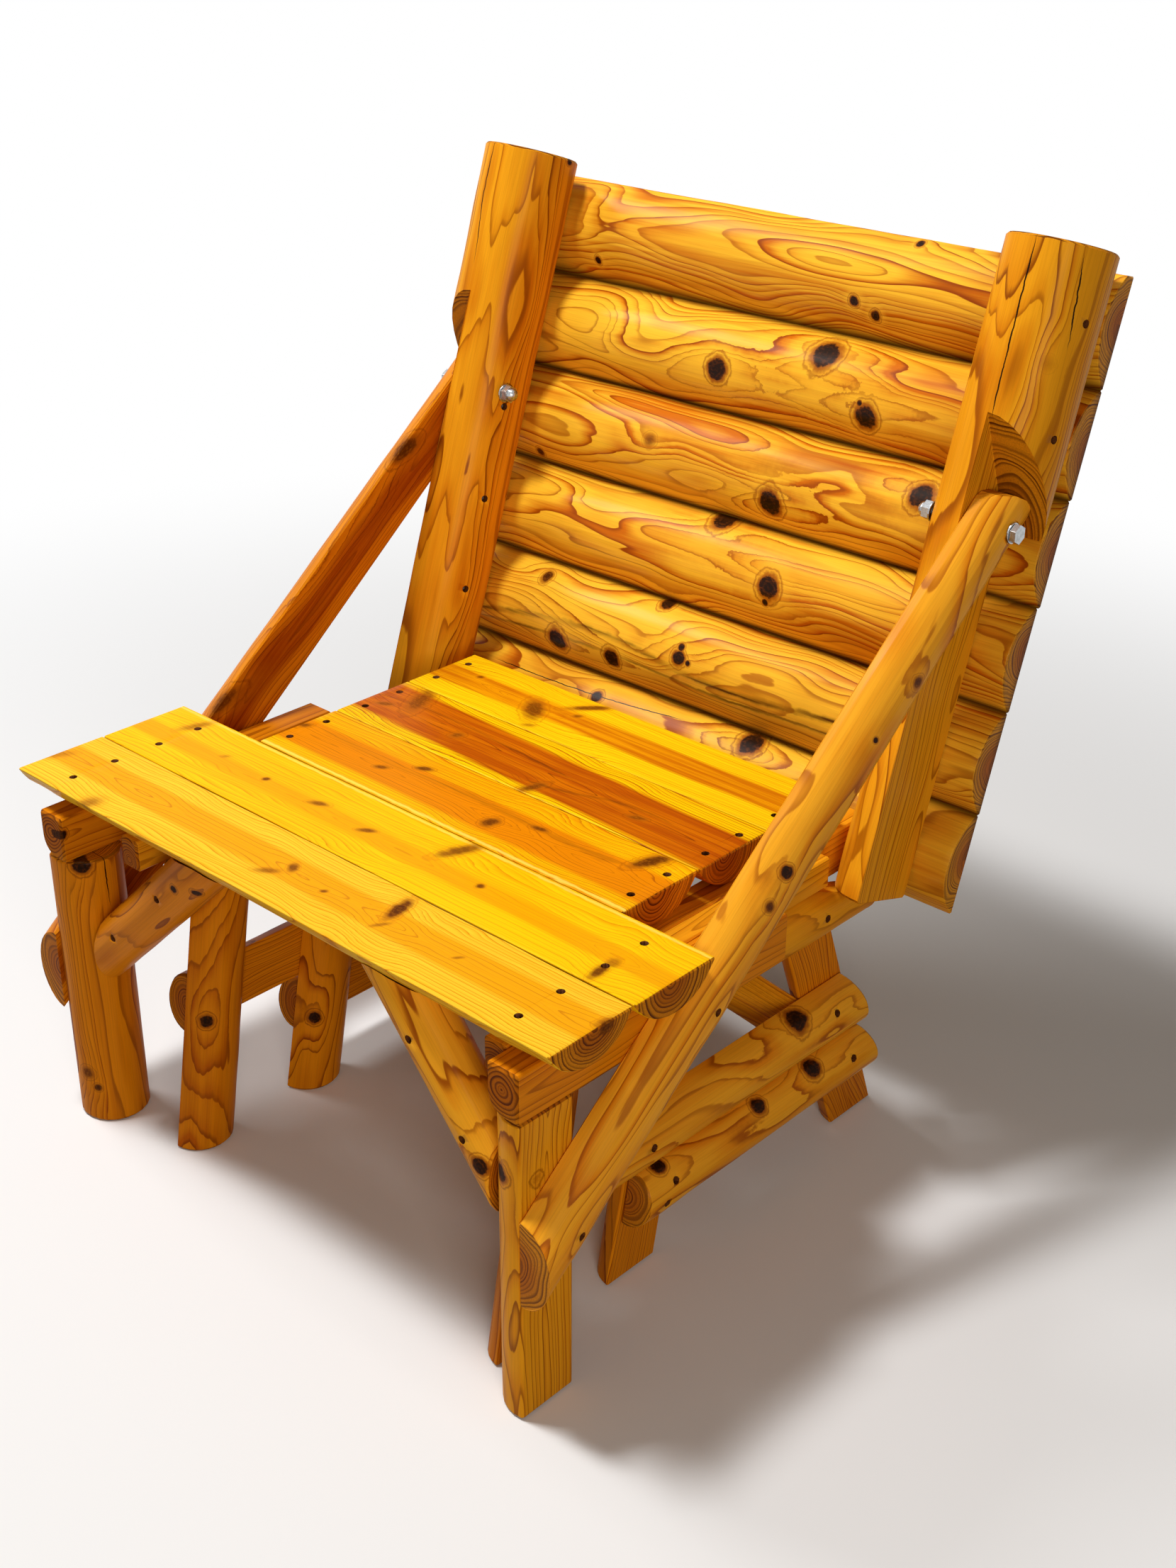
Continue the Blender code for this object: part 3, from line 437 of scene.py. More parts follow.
# Wood tones as pale, deep, heartwood and latewood colours
TONES = {
    "lemon": ((0.98, 0.595, 0.028), (0.92, 0.39, 0.003), (0.90, 0.39, 0.004), (0.55, 0.16, 0.002)),
    "gold": ((0.98, 0.60, 0.003), (0.94, 0.41, 0.001), (0.90, 0.39, 0.001), (0.58, 0.16, 0.001)),
    "orange": ((0.96, 0.53, 0.002), (0.80, 0.25, 0.001), (0.78, 0.24, 0.001), (0.34, 0.060, 0.001)),
    "heart": ((0.97, 0.60, 0.002), (0.68, 0.18, 0.001), (0.46, 0.084, 0.001), (0.17, 0.024, 0.001)),
    "stripe": ((0.97, 0.62, 0.004), (0.90, 0.40, 0.002), (0.58, 0.155, 0.001), (0.42, 0.10, 0.001)),
    "amber": ((0.88, 0.365, 0.010), (0.66, 0.195, 0.003), (0.44, 0.10, 0.002), (0.22, 0.042, 0.001)),
    # tan is a darker, more orange copy of flame and amber: painted shade for the timbers that stand in shade
    "tan": ((0.78, 0.255, 0.004), (0.48, 0.10, 0.001), (0.44, 0.10, 0.002), (0.18, 0.030, 0.001)),
    "rust": ((0.76, 0.25, 0.004), (0.54, 0.13, 0.002), (0.34, 0.058, 0.001), (0.16, 0.024, 0.001)),
    "honey": ((0.98, 0.535, 0.030), (0.60, 0.145, 0.002), (0.58, 0.16, 0.004), (0.28, 0.046, 0.001)),
    "flame": ((0.96, 0.425, 0.020), (0.78, 0.230, 0.003), (0.58, 0.15, 0.002), (0.32, 0.062, 0.001)),
}


def spans_of(name, axes):
    """Lowest and highest coordinate of a CAD node along each of three axes."""
    spans = []
    for axis in axes:
        reach = [axis.dot(vert.co) for vert in nodes[name].data.vertices]
        spans.append((min(reach), max(reach)))
    return spans


class Log:
    """Where a timber's pith lies: W runs along it, V towards its round side and U across."""

    def __init__(self, name, along, crown, pith=0.0, across=0.0):
        self.name = name
        self.w = along.normalized()
        self.v = (crown - self.w * crown.dot(self.w)).normalized()
        self.u = self.v.cross(self.w)
        spans = spans_of(name, (self.u, self.v, self.w))
        self.length = spans[2][1] - spans[2][0]
        self.flat = spans[1][0]
        self.depth = spans[1][1] - spans[1][0]
        self.middle = (spans[0][0] + spans[0][1]) / 2
        self.pith = pith
        self.origin = self.u * (self.middle + across) + self.v * (self.flat + pith) + self.w * spans[2][0]
        self.turn = Matrix((self.u, self.v, self.w))

    def local(self, point):
        return self.turn @ (Vector(point) - self.origin)


def knot(x, y, z, size, bend=1.0, dark=1.0):
    """A round knot where a branch comes out of the log. Its size is in millimetres."""
    return ((x, y, z), None, size / 1000, bend, dark)


def spike(x1, y1, z1, x2, y2, z2, size, bend=1.0, dark=1.0):
    """A long knot, cut lengthwise, between two places on the surface."""
    return ((x1, y1, z1), (x2, y2, z2), size / 1000, bend, dark)


# Width across a timber that a trace's curve covers, in metres
TRACE_SPAN = 0.4
# How far a trace goes on beyond its end points
TRACE_REACH = 0.01
CRACK_SOFTNESS = 0.3
# Length of a knot that goes right through its timber
ENDLESS = 9.0


def add_traces(t, log, place, traces):
    """Chains cracks, streaks or painted edge highlights.

    Each has points on the surface, half width, softness, strength and whether only the front side shows it.
    """
    made = None
    for points, half, soft, strength, front_only in traces:
        spots = sorted((log.local(point) for point in points), key=lambda spot: spot.z)
        curve = t.node("ShaderNodeFloatCurve")
        line = curve.mapping.curves[0]
        levels = [(min(1.0, max(0.0, spot.z / log.length)), spot.x / TRACE_SPAN + 0.5) for spot in spots]
        while len(line.points) < len(levels):
            line.points.new(0.5, 0.5)
        for point, level in zip(line.points, levels):
            point.location = level
        curve.mapping.update()
        t.feed(curve.inputs["Value"], t.times(t.split(place)[2], 1.0 / log.length))
        middle = t.times(t.math("SUBTRACT", curve.outputs["Value"], 0.5), TRACE_SPAN)
        trace = t.node("ShaderNodeGroup", node_tree=TRACE)
        low = 0.25 * log.depth - log.pith if front_only else -1.0
        t.feed_all(trace, {
            "Log": place, "Middle": middle, "Half": half, "Soft": soft, "Low": low, "Strength": strength,
            "Start": spots[0].z - TRACE_REACH, "End": spots[-1].z + TRACE_REACH, "Trace": made,
        })
        made = trace.outputs["Trace"]
    return made


def wood(
    log, tone, seed, ring=0.0030, swirl=0.004, drift=0.0, heart=0.0, line=0.6, cloud=0.5, knots=(), cracks=(),
    streaks=(), edge_highlights=(), seams="", cut=0.25, feather=(110.0, 110.0, 110.0, 0.7), gloss=0.06,
):
    """Varnished wood for one timber.

    Ring is the width of a growth ring, swirl how far the rings stray, drift the slant of the pith and heart
    the heartwood's radius, all in metres. Line and cloud are the strengths of the dark rings and of the
    mottling. Cut is how far the sawn ends take the timber's own tone, and above 0 the knots stand in pale
    wood. Feather roughens the knots' edges, and the seam setting names the long edges that get painted shade
    where the next timber meets them.
    """
    material, t, shader = new_material("wood_" + log.name)
    coordinates = t.node("ShaderNodeTexCoord")
    mapping = t.node("ShaderNodeMapping", vector_type="POINT")
    t.feed(mapping.inputs["Vector"], coordinates.outputs["Object"])
    mapping.inputs["Location"].default_value = -(log.turn @ log.origin)
    mapping.inputs["Rotation"].default_value = log.turn.to_euler()
    turned = t.node("ShaderNodeMapping", vector_type="VECTOR")
    t.feed(turned.inputs["Vector"], coordinates.outputs["Normal"])
    turned.inputs["Rotation"].default_value = log.turn.to_euler()
    place = mapping.outputs[0]
    body = t.node("ShaderNodeGroup", node_tree=WOOD)
    chain = {}
    wobble = None
    if knots:
        wobble = t.math("SUBTRACT", t.noise(t.vector("MULTIPLY", place, feather[:3]), 1.0, 3.0, 0.6), 0.5)
        wobble = t.times(wobble, feather[3])
    for first, second, size, bend, dark in knots:
        centre = log.local(first)
        # A spike lies between its two places, any other branch rises out of the pith at a slant
        if second:
            to = log.local(second)
            inward = ENDLESS
            long = (to - centre).length / 2 + size * 0.6
            axis = (to - centre).normalized()
            centre = (centre + to) / 2
        else:
            start = Vector((0, 0, centre.z - 0.2 * math.hypot(centre.x, centre.y)))
            axis = (centre - start).normalized()
            inward, long = 0.6 * (centre - start).length, ENDLESS
        knot_node = t.node("ShaderNodeGroup", node_tree=KNOT)
        t.feed_all(knot_node, {
            "Log": place, "Centre": centre, "Axis": axis, "Inward": inward, "Long": long,
            "Size": size, "Bend": bend, "Depth": dark, "Wobble": wobble,
        })
        t.feed_all(knot_node, chain)
        chain = {key: knot_node.outputs[key] for key in ("Reach", "Dark", "Shift")}
    t.feed_all(body, chain)
    cracks = [(points, half, CRACK_SOFTNESS, 1.0, True) for points, half in cracks]
    t.feed(body.inputs["Crack"], add_traces(t, log, place, cracks))
    t.feed(body.inputs["Streak"], add_traces(t, log, place, [(*streak, False) for streak in streaks]))
    t.feed(body.inputs["Rim"], add_traces(t, log, place, [(*rim, False) for rim in edge_highlights]))
    # Painted shade in the seams, on the front side only: darkest at the sawn face and gone 13 mm above it
    if seams:
        x, y, _ = t.split(place)
        low = log.flat - log.origin.dot(log.v)
        in_front = t.step(t.split(turned.outputs[0])[1], -0.2, 0.1)
        painted_shade = t.times(t.step(y, low + 0.001, low + 0.013, 0.85, 0.0), in_front)
        if seams != "both":
            painted_shade = t.times(painted_shade, t.math("GREATER_THAN", t.times(x, 1.0 if seams == "plus" else -1.0), 0.0))
        t.feed(body.inputs["Seam"], painted_shade)
    pale, deep, heartwood, late = ((*colour, 1.0) for colour in TONES[tone])
    t.feed_all(body, {
        "Log": place, "Normal": turned.outputs[0], "Seed": seed, "Ring": ring, "Swirl": swirl, "Drift": drift,
        "Heart": heart, "Line": line, "Cloud": cloud, "Cut": cut,
        "Pale": pale, "Deep": deep, "Heartwood": heartwood, "Late": late,
    })
    t.bump(shader, body.outputs["Height"], strength=0.35, distance=0.0006)
    t.feed_all(shader, {
        "Base Color": body.outputs["Color"], "Roughness": body.outputs["Roughness"],
        "Specular IOR Level": 0.03, "Specular Tint": (1.0, 0.78, 0.42, 1.0),
        "Coat Weight": gloss, "Coat Roughness": 0.22,
    })
    return material


def hole_shade_material():
    """Painted shade inside a screw hole: dark wood colour on its walls and bottom."""
    material, t, shader = new_material("wood_bored")
    coordinates = t.node("ShaderNodeTexCoord")
    cloud = t.noise(coordinates.outputs["Object"], 900.0, 3.0, 0.6)
    tint = t.mix(t.step(cloud, 0.3, 0.7), (0.045, 0.012, 0.003, 1.0), (0.15, 0.040, 0.006, 1.0))
    t.feed(shader.inputs["Base Color"], tint)
    t.feed(shader.inputs["Roughness"], t.plus(0.6, t.times(cloud, 0.2)))
    shader.inputs["Specular IOR Level"].default_value = 0.1
    return material


# Dark colour painted inside the screw holes as shade
HOLE_SHADE = hole_shade_material()

# Timber shapes, in metres and degrees

# How the bottom of a CAD screw hole is known
HOLE_SIDES = 10
HOLE_AREA = 5.31e-5
HOLE_AREA_SLACK = 2.5e-6
# How far from its axis and bottom the hole's walls, floor and edges lie
HOLE_RADIUS = 0.0046
HOLE_DEPTH = 0.014
HOLE_FLOOR_RADIUS = 0.003
HOLE_FLOOR_SLACK = 0.001
HOLE_EDGE_RADIUS = 0.0052
HOLE_EDGE_DEPTH = 0.016
# The crown stays even up to this distance from a hole, and is fully uneven so much further out
EVEN_REACH = 0.008
EVEN_FADE = 0.03
# Length of the slices that carry the uneven crown and edges
SLICE = 0.010
# Angles from which an edge is eased, an end is eased after its long edges, and shading stays sharp
SHARP_CUT = 24
SHARP_END = 50
SHARP_SHADING = 38
# Shares of a timber's half width: outside them its edge is waney, and is widened to close a seam
WANEY_FROM = 0.72
SEAM_FROM = 0.9
# Heights above the flat side: the seam's edge ends at one, the crown is fully uneven from the other
SEAM_HEIGHT = 0.012
UNEVEN_HEIGHT = 0.006


def sharp_edges(bm, degrees):
    limit = math.radians(degrees)
    return [edge for edge in bm.edges if edge.is_manifold and edge.calc_face_angle(0) > limit]


def from_axis(point, hole):
    """Distance of a point from a screw hole's axis, and its height above the bottom."""
    away = point - hole[0]
    rise = away.dot(hole[1])
    return (away - hole[1] * rise).length, rise


def ease_edges(bm, edges, width):
    bmesh.ops.bevel(
        bm, geom=edges, offset=width, offset_type="OFFSET", segments=2, profile=0.5, affect="EDGES",
        clamp_overlap=True,
    )


def find_holes(bm):
    """Centre and direction of the bottom of each screw hole."""
    holes = []
    for face in bm.faces:
        if len(face.verts) == HOLE_SIDES and abs(face.calc_area() - HOLE_AREA) < HOLE_AREA_SLACK:
            holes.append((face.calc_center_median(), face.normal.copy()))
    return holes


def ease_timber(bm, log, holes, ease, ease_long):
    """Rounds the sharp edges, the long ones by a width of their own where it is given."""
    in_hole = set()
    for hole in holes:
        for edge in bm.edges:
            away, rise = from_axis((edge.verts[0].co + edge.verts[1].co) / 2, hole)
            if away < HOLE_EDGE_RADIUS and abs(rise) < HOLE_EDGE_DEPTH:
                in_hole.add(edge)

    def lengthwise(edge):
        return abs((edge.verts[0].co - edge.verts[1].co).normalized().dot(log.w))

    cuts = [edge for edge in sharp_edges(bm, SHARP_CUT) if edge not in in_hole]
    if ease_long is not None:
        ease_edges(bm, [edge for edge in cuts if lengthwise(edge) > 0.9], ease_long)
        cuts = [edge for edge in sharp_edges(bm, SHARP_END) if edge not in in_hole and lengthwise(edge) < 0.3]
    ease_edges(bm, cuts, ease)


def wear_timber(bm, log, holes, uneven, widen, wane, seed):
    """Slices the timber, makes its crown uneven and its edges waney, and widens it at the seams."""
    base = log.w.dot(log.origin)
    steps = max(2, int(log.length / SLICE))
    for step in range(1, steps):
        at = base + log.length * step / steps
        everything = bm.verts[:] + bm.edges[:] + bm.faces[:]
        bmesh.ops.bisect_plane(bm, geom=everything, plane_co=log.w * at, plane_no=log.w)
    bm.normal_update()
    half = max(abs(log.u.dot(vert.co) - log.middle) for vert in bm.verts)
    moves = []
    for vert in bm.verts:
        place = log.turn @ vert.co
        normal = vert.normal - log.w * vert.normal.dot(log.w)
        side = (place.x - log.middle) / half
        move = Vector()
        if abs(side) > SEAM_FROM and place.y - log.flat < SEAM_HEIGHT:
            move += log.u * (widen[1] if side > 0 else -widen[0])
        crown = min(1.0, max(0.0, normal.dot(log.v) + 0.35) * 1.6)
        depth = min(1.0, max(0.0, (place.y - log.flat) / UNEVEN_HEIGHT))
        clear = 1.0
        for hole in holes:
            clear = min(clear, max(0.0, (from_axis(vert.co, hole)[0] - EVEN_REACH) / EVEN_FADE))
        wave = noise.noise(Vector((place.x * 24 + seed * 3.1, place.y * 24, place.z * 6 + seed)))
        wave += 0.5 * noise.noise(Vector((place.x * 60, place.y * 60 + seed, place.z * 20 + seed)))
        move -= normal * uneven * crown * depth * clear * max(0.0, 1.2 + wave)
        if wane and abs(side) > WANEY_FROM and clear > 0.5:
            chip = noise.noise(Vector((seed * 2.7 + (3.0 if side > 0 else 0.0), 0.3, place.z * 7)))
            chip += 0.5 * noise.noise(Vector((seed + side, 0.9, place.z * 19)))
            share = min(1.0, (abs(side) - WANEY_FROM) / 0.2)
            move -= log.u * math.copysign(wane * max(0.0, chip + 0.25) * share, side)
        moves.append((vert, move))
    for vert, move in moves:
        moved = vert.co + move
        vert.co = [min(max(moved[i], cad_box[0][i]), cad_box[1][i]) for i in range(3)]


def darken_holes(bm, holes):
    """Gives the walls and bottoms of the screw holes the second material, the painted shade."""
    for face in bm.faces:
        middle = face.calc_center_median()
        for hole in holes:
            away, rise = from_axis(middle, hole)
            across = abs(face.normal.dot(hole[1])) < 0.5
            wall = across and away < HOLE_RADIUS and -HOLE_FLOOR_SLACK < rise < HOLE_DEPTH
            bottom = away < HOLE_FLOOR_RADIUS and abs(rise) < HOLE_FLOOR_SLACK
            if wall or bottom:
                face.material_index = 1


def link_mesh(bm, name, sharp, *materials):
    """An object from the finished mesh, smooth apart from the edges that are sharper than the angle."""
    mesh = bpy.data.meshes.new(name)
    bm.to_mesh(mesh)
    bm.free()
    mesh.shade_smooth()
    mesh.set_sharp_from_angle(angle=math.radians(sharp))
    for material in materials:
        mesh.materials.append(material)
    piece = bpy.data.objects.new(name, mesh)
    bpy.context.scene.collection.objects.link(piece)
    return piece


def timber(log, material, uneven, ease, ease_long, widen, wane, seed):
    """Stands for a CAD timber: the same faces with rounded edges and a slightly uneven crown."""
    node = nodes[log.name]
    bm = bmesh.new()
    bm.from_mesh(node.data)
    bmesh.ops.remove_doubles(bm, verts=bm.verts, dist=1e-6)
    bmesh.ops.dissolve_limit(bm, angle_limit=math.radians(0.6), verts=bm.verts, edges=bm.edges)
    holes = find_holes(bm)
    ease_timber(bm, log, holes, ease, ease_long)
    if uneven or any(widen) or wane:
        wear_timber(bm, log, holes, uneven, widen, wane, seed)
    darken_holes(bm, holes)
    # The screw holes' walls and bottoms take the painted shade
    piece = link_mesh(bm, "log_" + log.name, SHARP_SHADING, material, HOLE_SHADE)
    shading = piece.modifiers.new("even_shading", "WEIGHTED_NORMAL")
    shading.keep_sharp = True
    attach(piece, node["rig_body"])
    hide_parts(log.name)
    return holes


# Knots, in metres, with their half width in millimetres, how far they bend the rings and how dark they are
KNOTS = {
    "seat_plank_1": (
        spike(0.122, -0.333, 0.414, 0.116, -0.306, 0.414, 6.8, 1.4, 0.68),
        spike(0.123, -0.355, 0.414, 0.131, -0.342, 0.414, 2.6, 0.6, 0.34),
        spike(-0.031, -0.360, 0.414, -0.017, -0.351, 0.414, 4.5, 1.0, 0.41),
        spike(-0.007, -0.340, 0.414, -0.013, -0.332, 0.414, 4.9, 1.0, 0.54),
        spike(0.043, -0.346, 0.414, 0.046, -0.343, 0.414, 2.5, 0.6, 0.54),
        spike(-0.262, -0.398, 0.412, -0.259, -0.384, 0.414, 9, 1.0, 0.37),
        spike(-0.383, -0.360, 0.414, -0.370, -0.341, 0.414, 7.3, 0.5, 0.27),
        spike(0.378, -0.333, 0.408, 0.384, -0.316, 0.410, 6.5, 1.0, 0.68),
        spike(0.215, -0.343, 0.414, 0.220, -0.337, 0.414, 2, 0.4, 0.34),
    ),
    "seat_plank_2": (
        spike(-0.331, -0.220, 0.414, -0.322, -0.194, 0.414, 6.5, 0.8, 0.37),
        spike(-0.175, -0.237, 0.414, -0.172, -0.234, 0.414, 3.2, 0.8, 0.61),
        spike(-0.100, -0.237, 0.414, -0.086, -0.231, 0.414, 4.2, 1.0, 0.51),
        spike(-0.021, -0.242, 0.414, -0.010, -0.236, 0.414, 3.6, 1.0, 0.54),
        spike(-0.248, -0.234, 0.414, -0.243, -0.230, 0.414, 3.2, 0.4, 0.24),
        spike(0.073, -0.221, 0.414, 0.086, -0.187, 0.414, 7.5, 1.0, 0.54),
        spike(0.141, -0.240, 0.414, 0.144, -0.238, 0.414, 3.6, 0.8, 0.61),
        spike(0.323, -0.281, 0.414, 0.321, -0.261, 0.414, 4.9, 1.0, 0.61),
        spike(0.322, -0.258, 0.414, 0.321, -0.249, 0.414, 5.7, 0.6, 0.34),
    ),
    "seat_plank_3": (
        spike(0.059, -0.149, 0.414, 0.061, -0.139, 0.414, 7.5, 1.2, 0.61),
        spike(0.098, -0.122, 0.414, 0.110, -0.120, 0.414, 3.9, 1.0, 0.58),
        spike(0.221, -0.110, 0.414, 0.233, -0.081, 0.414, 8.1, 1.1, 0.65),
        spike(-0.079, -0.111, 0.414, -0.068, -0.106, 0.414, 4.2, 1.0, 0.61),
        spike(-0.113, -0.139, 0.414, -0.104, -0.134, 0.414, 3.6, 1.0, 0.54),
        spike(-0.248, -0.128, 0.414, -0.240, -0.122, 0.414, 4.5, 1.0, 0.54),
    ),
    "seat_plank_4": (
        spike(-0.192, -0.016, 0.414, -0.209, 0.025, 0.414, 11, 0.8, 0.51),
        spike(-0.109, -0.032, 0.414, -0.104, -0.027, 0.414, 5.9, 0.8, 0.48),
        spike(-0.230, -0.033, 0.414, -0.216, -0.025, 0.414, 3.9, 0.5, 0.48),
        spike(0.151, -0.041, 0.414, 0.165, -0.036, 0.414, 3.9, 0.7, 0.48),
        spike(0.033, -0.073, 0.414, 0.041, -0.051, 0.414, 5.9, 1.0, 0.54),
    ),
    "seat_plank_5": (
        spike(-0.083, 0.062, 0.414, -0.103, 0.086, 0.414, 11, 1.2, 0.58),
        spike(-0.065, 0.103, 0.414, -0.035, 0.134, 0.414, 5.2, 0.7, 0.58),
        spike(-0.048, 0.092, 0.414, -0.043, 0.096, 0.414, 3.6, 0.5, 0.48),
        spike(-0.199, 0.093, 0.414, -0.196, 0.096, 0.414, 3.2, 0.6, 0.54),
        spike(-0.073, 0.039, 0.414, -0.064, 0.044, 0.414, 3.6, 0.5, 0.34),
    ),
    "back_slat_1": (
        knot(-0.111, 0.195, 0.384, 7, 0.41),
        knot(0.106, 0.208, 0.392, 13, 0.5),
    ),
    "back_slat_2": (
        knot(-0.226, 0.234, 0.491, 7, 0.41, 0.8),
        knot(-0.187, 0.209, 0.427, 12, 0.38),
        knot(-0.101, 0.208, 0.429, 10, 0.38),
        knot(-0.053, 0.251, 0.498, 8, 0.32),
        knot(-0.003, 0.210, 0.459, 8, 0.57),
        knot(-0.003, 0.215, 0.471, 4, 0.32),
        knot(0.011, 0.209, 0.457, 3, 0.32),
    ),
    "back_slat_3": (
        knot(-0.003, 0.286, 0.601, 13, 0.38),
        knot(0.091, 0.243, 0.558, 12, 0.44),
        knot(0.089, 0.241, 0.540, 3.5, 0.32),
    ),
    "back_slat_4": (
        knot(0.063, 0.276, 0.636, 13, 0.57),
        knot(0.243, 0.291, 0.686, 13, 0.5),
        knot(-0.112, 0.280, 0.669, 7, 0.69, 0.5),
        knot(-0.285, 0.284, 0.616, 5, 0.32, 0.8),
    ),
    "back_slat_5": (
        knot(-0.044, 0.310, 0.756, 12, 0.5),
        knot(0.086, 0.331, 0.794, 15, 0.38),
        knot(0.155, 0.310, 0.744, 12, 0.5),
        knot(0.146, 0.310, 0.757, 3, 0.32),
    ),
    "back_slat_6": (
        knot(0.161, 0.378, 0.912, 4, 0.44),
        knot(0.106, 0.345, 0.848, 5, 0.57),
        knot(0.133, 0.347, 0.837, 5, 0.48),
        knot(-0.254, 0.348, 0.833, 4, 0.38),
    ),
    "arm_brace_left": (
        spike(-0.346, 0.110, 0.636, -0.346, 0.141, 0.648, 9.8, 1.0, 0.68),
        spike(-0.346, -0.183, 0.413, -0.346, -0.140, 0.424, 9.8, 0.8, 0.61),
    ),
    "arm_brace_right": (
        knot(0.382, 0.037, 0.547, 2.5, 0.32),
        knot(0.383, 0.097, 0.585, 6, 0.5, 0.7),
        knot(0.379, -0.084, 0.457, 6, 0.38),
        knot(0.381, -0.109, 0.432, 5, 0.5, 0.7),
    ),
    "back_post_left": (knot(-0.293, 0.343, 0.940, 4, 0.35),),
    "back_post_right": (knot(0.384, 0.264, 0.853, 6, 0.77, 0.15),),
    "front_leg_left": (
        knot(-0.299, -0.384, 0.324, 9, 0.38),
        knot(-0.320, -0.396, 0.062, 7, 0.41, 0.6),
        knot(-0.309, -0.392, 0.045, 4, 0.32, 0.8),
    ),
    "front_leg_right": (knot(0.320, -0.394, 0.267, 9, 0.44),),
    "knee_brace_left": (knot(-0.104, -0.382, 0.368, 5, 0.32), knot(-0.131, -0.389, 0.365, 4, 0.38)),
    "knee_brace_right": (knot(0.290, -0.389, 0.254, 8, 0.57),),
    "lower_stretcher_right": (
        knot(0.303, 0.083, 0.123, 10, 0.44),
        knot(0.303, -0.007, 0.123, 8, 0.38),
        knot(0.296, -0.156, 0.127, 8, 0.44),
        knot(0.275, -0.072, 0.127, 3, 0.32),
    ),
    "outer_rail_left": (knot(-0.315, -0.397, 0.360, 5, 0.48),),
    "outer_rail_right": (knot(0.346, -0.160, 0.428, 4, 0.32),),
    "trestle_leg_front_left": (knot(-0.187, -0.327, 0.156, 7, 0.57),),
    "trestle_leg_middle_left": (knot(-0.188, -0.183, 0.090, 7, 0.44),),
    "upper_stretcher_right": (knot(0.300, 0.055, 0.196, 12, 0.38),),
}

# Drying cracks: points on the surface and the half width
CRACKS = {
    "back_post_left": (
        (((-0.355, 0.287, 0.966), (-0.356, 0.277, 0.936), (-0.356, 0.265, 0.9), (-0.351, 0.252, 0.863),
          (-0.349, 0.243, 0.836)), 0.0006),
    ),
    "back_post_right": (
        (((0.347, 0.284, 0.96), (0.3475, 0.269, 0.914), (0.3485, 0.253, 0.865), (0.349, 0.241, 0.83),
          (0.350, 0.232, 0.803)), 0.0007),
        (((0.388, 0.3, 0.943), (0.391, 0.29, 0.902), (0.393, 0.282, 0.867)), 0.0004),
    ),
    "front_leg_left": (
        (((-0.29, -0.362, 0.338), (-0.29, -0.362, 0.309), (-0.29, -0.361, 0.274)), 0.0006),
    ),
    "back_slat_1": (
        (((-0.272, 0.193, 0.383), (-0.134, 0.194, 0.384), (0.009, 0.204, 0.39)), 0.0004),
    ),
}

# Resin streaks: points on the surface, half width, softness and strength
STREAKS = {
    "back_slat_2": (
        (((-0.317, 0.21, 0.434), (-0.169, 0.209, 0.454), (-0.076, 0.209, 0.454), (-0.022, 0.208, 0.447),
          (0.047, 0.207, 0.442), (0.134, 0.207, 0.446), (0.216, 0.208, 0.452), (0.31, 0.208, 0.456)),
         0.0030, 0.8, 1.0),
        (((-0.317, 0.21, 0.424), (-0.10, 0.209, 0.436), (0.05, 0.209, 0.430), (0.134, 0.207, 0.434),
          (0.31, 0.208, 0.436)), 0.0016, 0.9, 0.8),
    ),
    "seat_plank_3": (
        (((-0.22, -0.12, 0.414), (-0.101, -0.123, 0.414), (0.01, -0.118, 0.414), (0.102, -0.121, 0.414),
          (0.168, -0.122, 0.414), (0.221, -0.116, 0.414)), 0.0040, 0.9, 0.30),
    ),
    "seat_plank_4": (
        (((0.02, -0.055, 0.414), (0.07, -0.045, 0.414), (0.123, -0.027, 0.414), (0.192, -0.024, 0.414)),
         0.0022, 0.9, 0.8),
        (((-0.24, -0.012, 0.414), (-0.15, -0.006, 0.414), (-0.05, -0.012, 0.414), (0.06, -0.022, 0.414)),
         0.0016, 0.9, 0.6),
    ),
}

# Painted highlights along the planks' edges, where light catches the rounded edge: as for the streaks
EDGE_HIGHLIGHTS = {
    "seat_plank_2": (
        (((-0.40, -0.1885, 0.414), (0.40, -0.1885, 0.414)), 0.0016, 0.6, 0.5),
    ),
    "seat_plank_3": (
        (((-0.36, -0.1795, 0.414), (0.36, -0.1795, 0.414)), 0.0018, 0.6, 0.6),
    ),
    "seat_plank_4": (
        (((-0.36, -0.0825, 0.414), (0.36, -0.0825, 0.414)), 0.0018, 0.6, 0.6),
    ),
}

# What wood() gets for each timber from the tables above
MARKS = {"knots": KNOTS, "cracks": CRACKS, "streaks": STREAKS, "edge_highlights": EDGE_HIGHLIGHTS}
screw_places = {}


def place(
    name, along, crown, tone, seed, pith=0.0, across=0.0, uneven=0.0007, ease=0.0012, ease_long=None,
    widen=(0.0, 0.0), wane=0.0, **look,
):
    """Makes one timber and remembers its screw holes. Pith and across say where the log's centre lies."""
    log = Log(name, along, crown, pith, across)
    marks = {kind: places.get(name, ()) for kind, places in MARKS.items()}
    material = wood(log, tone, seed, **marks, **look)
    holes = timber(log, material, uneven, ease, ease_long, widen, wane, seed)
    screw_places.setdefault(nodes[name]["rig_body"], []).extend(holes)


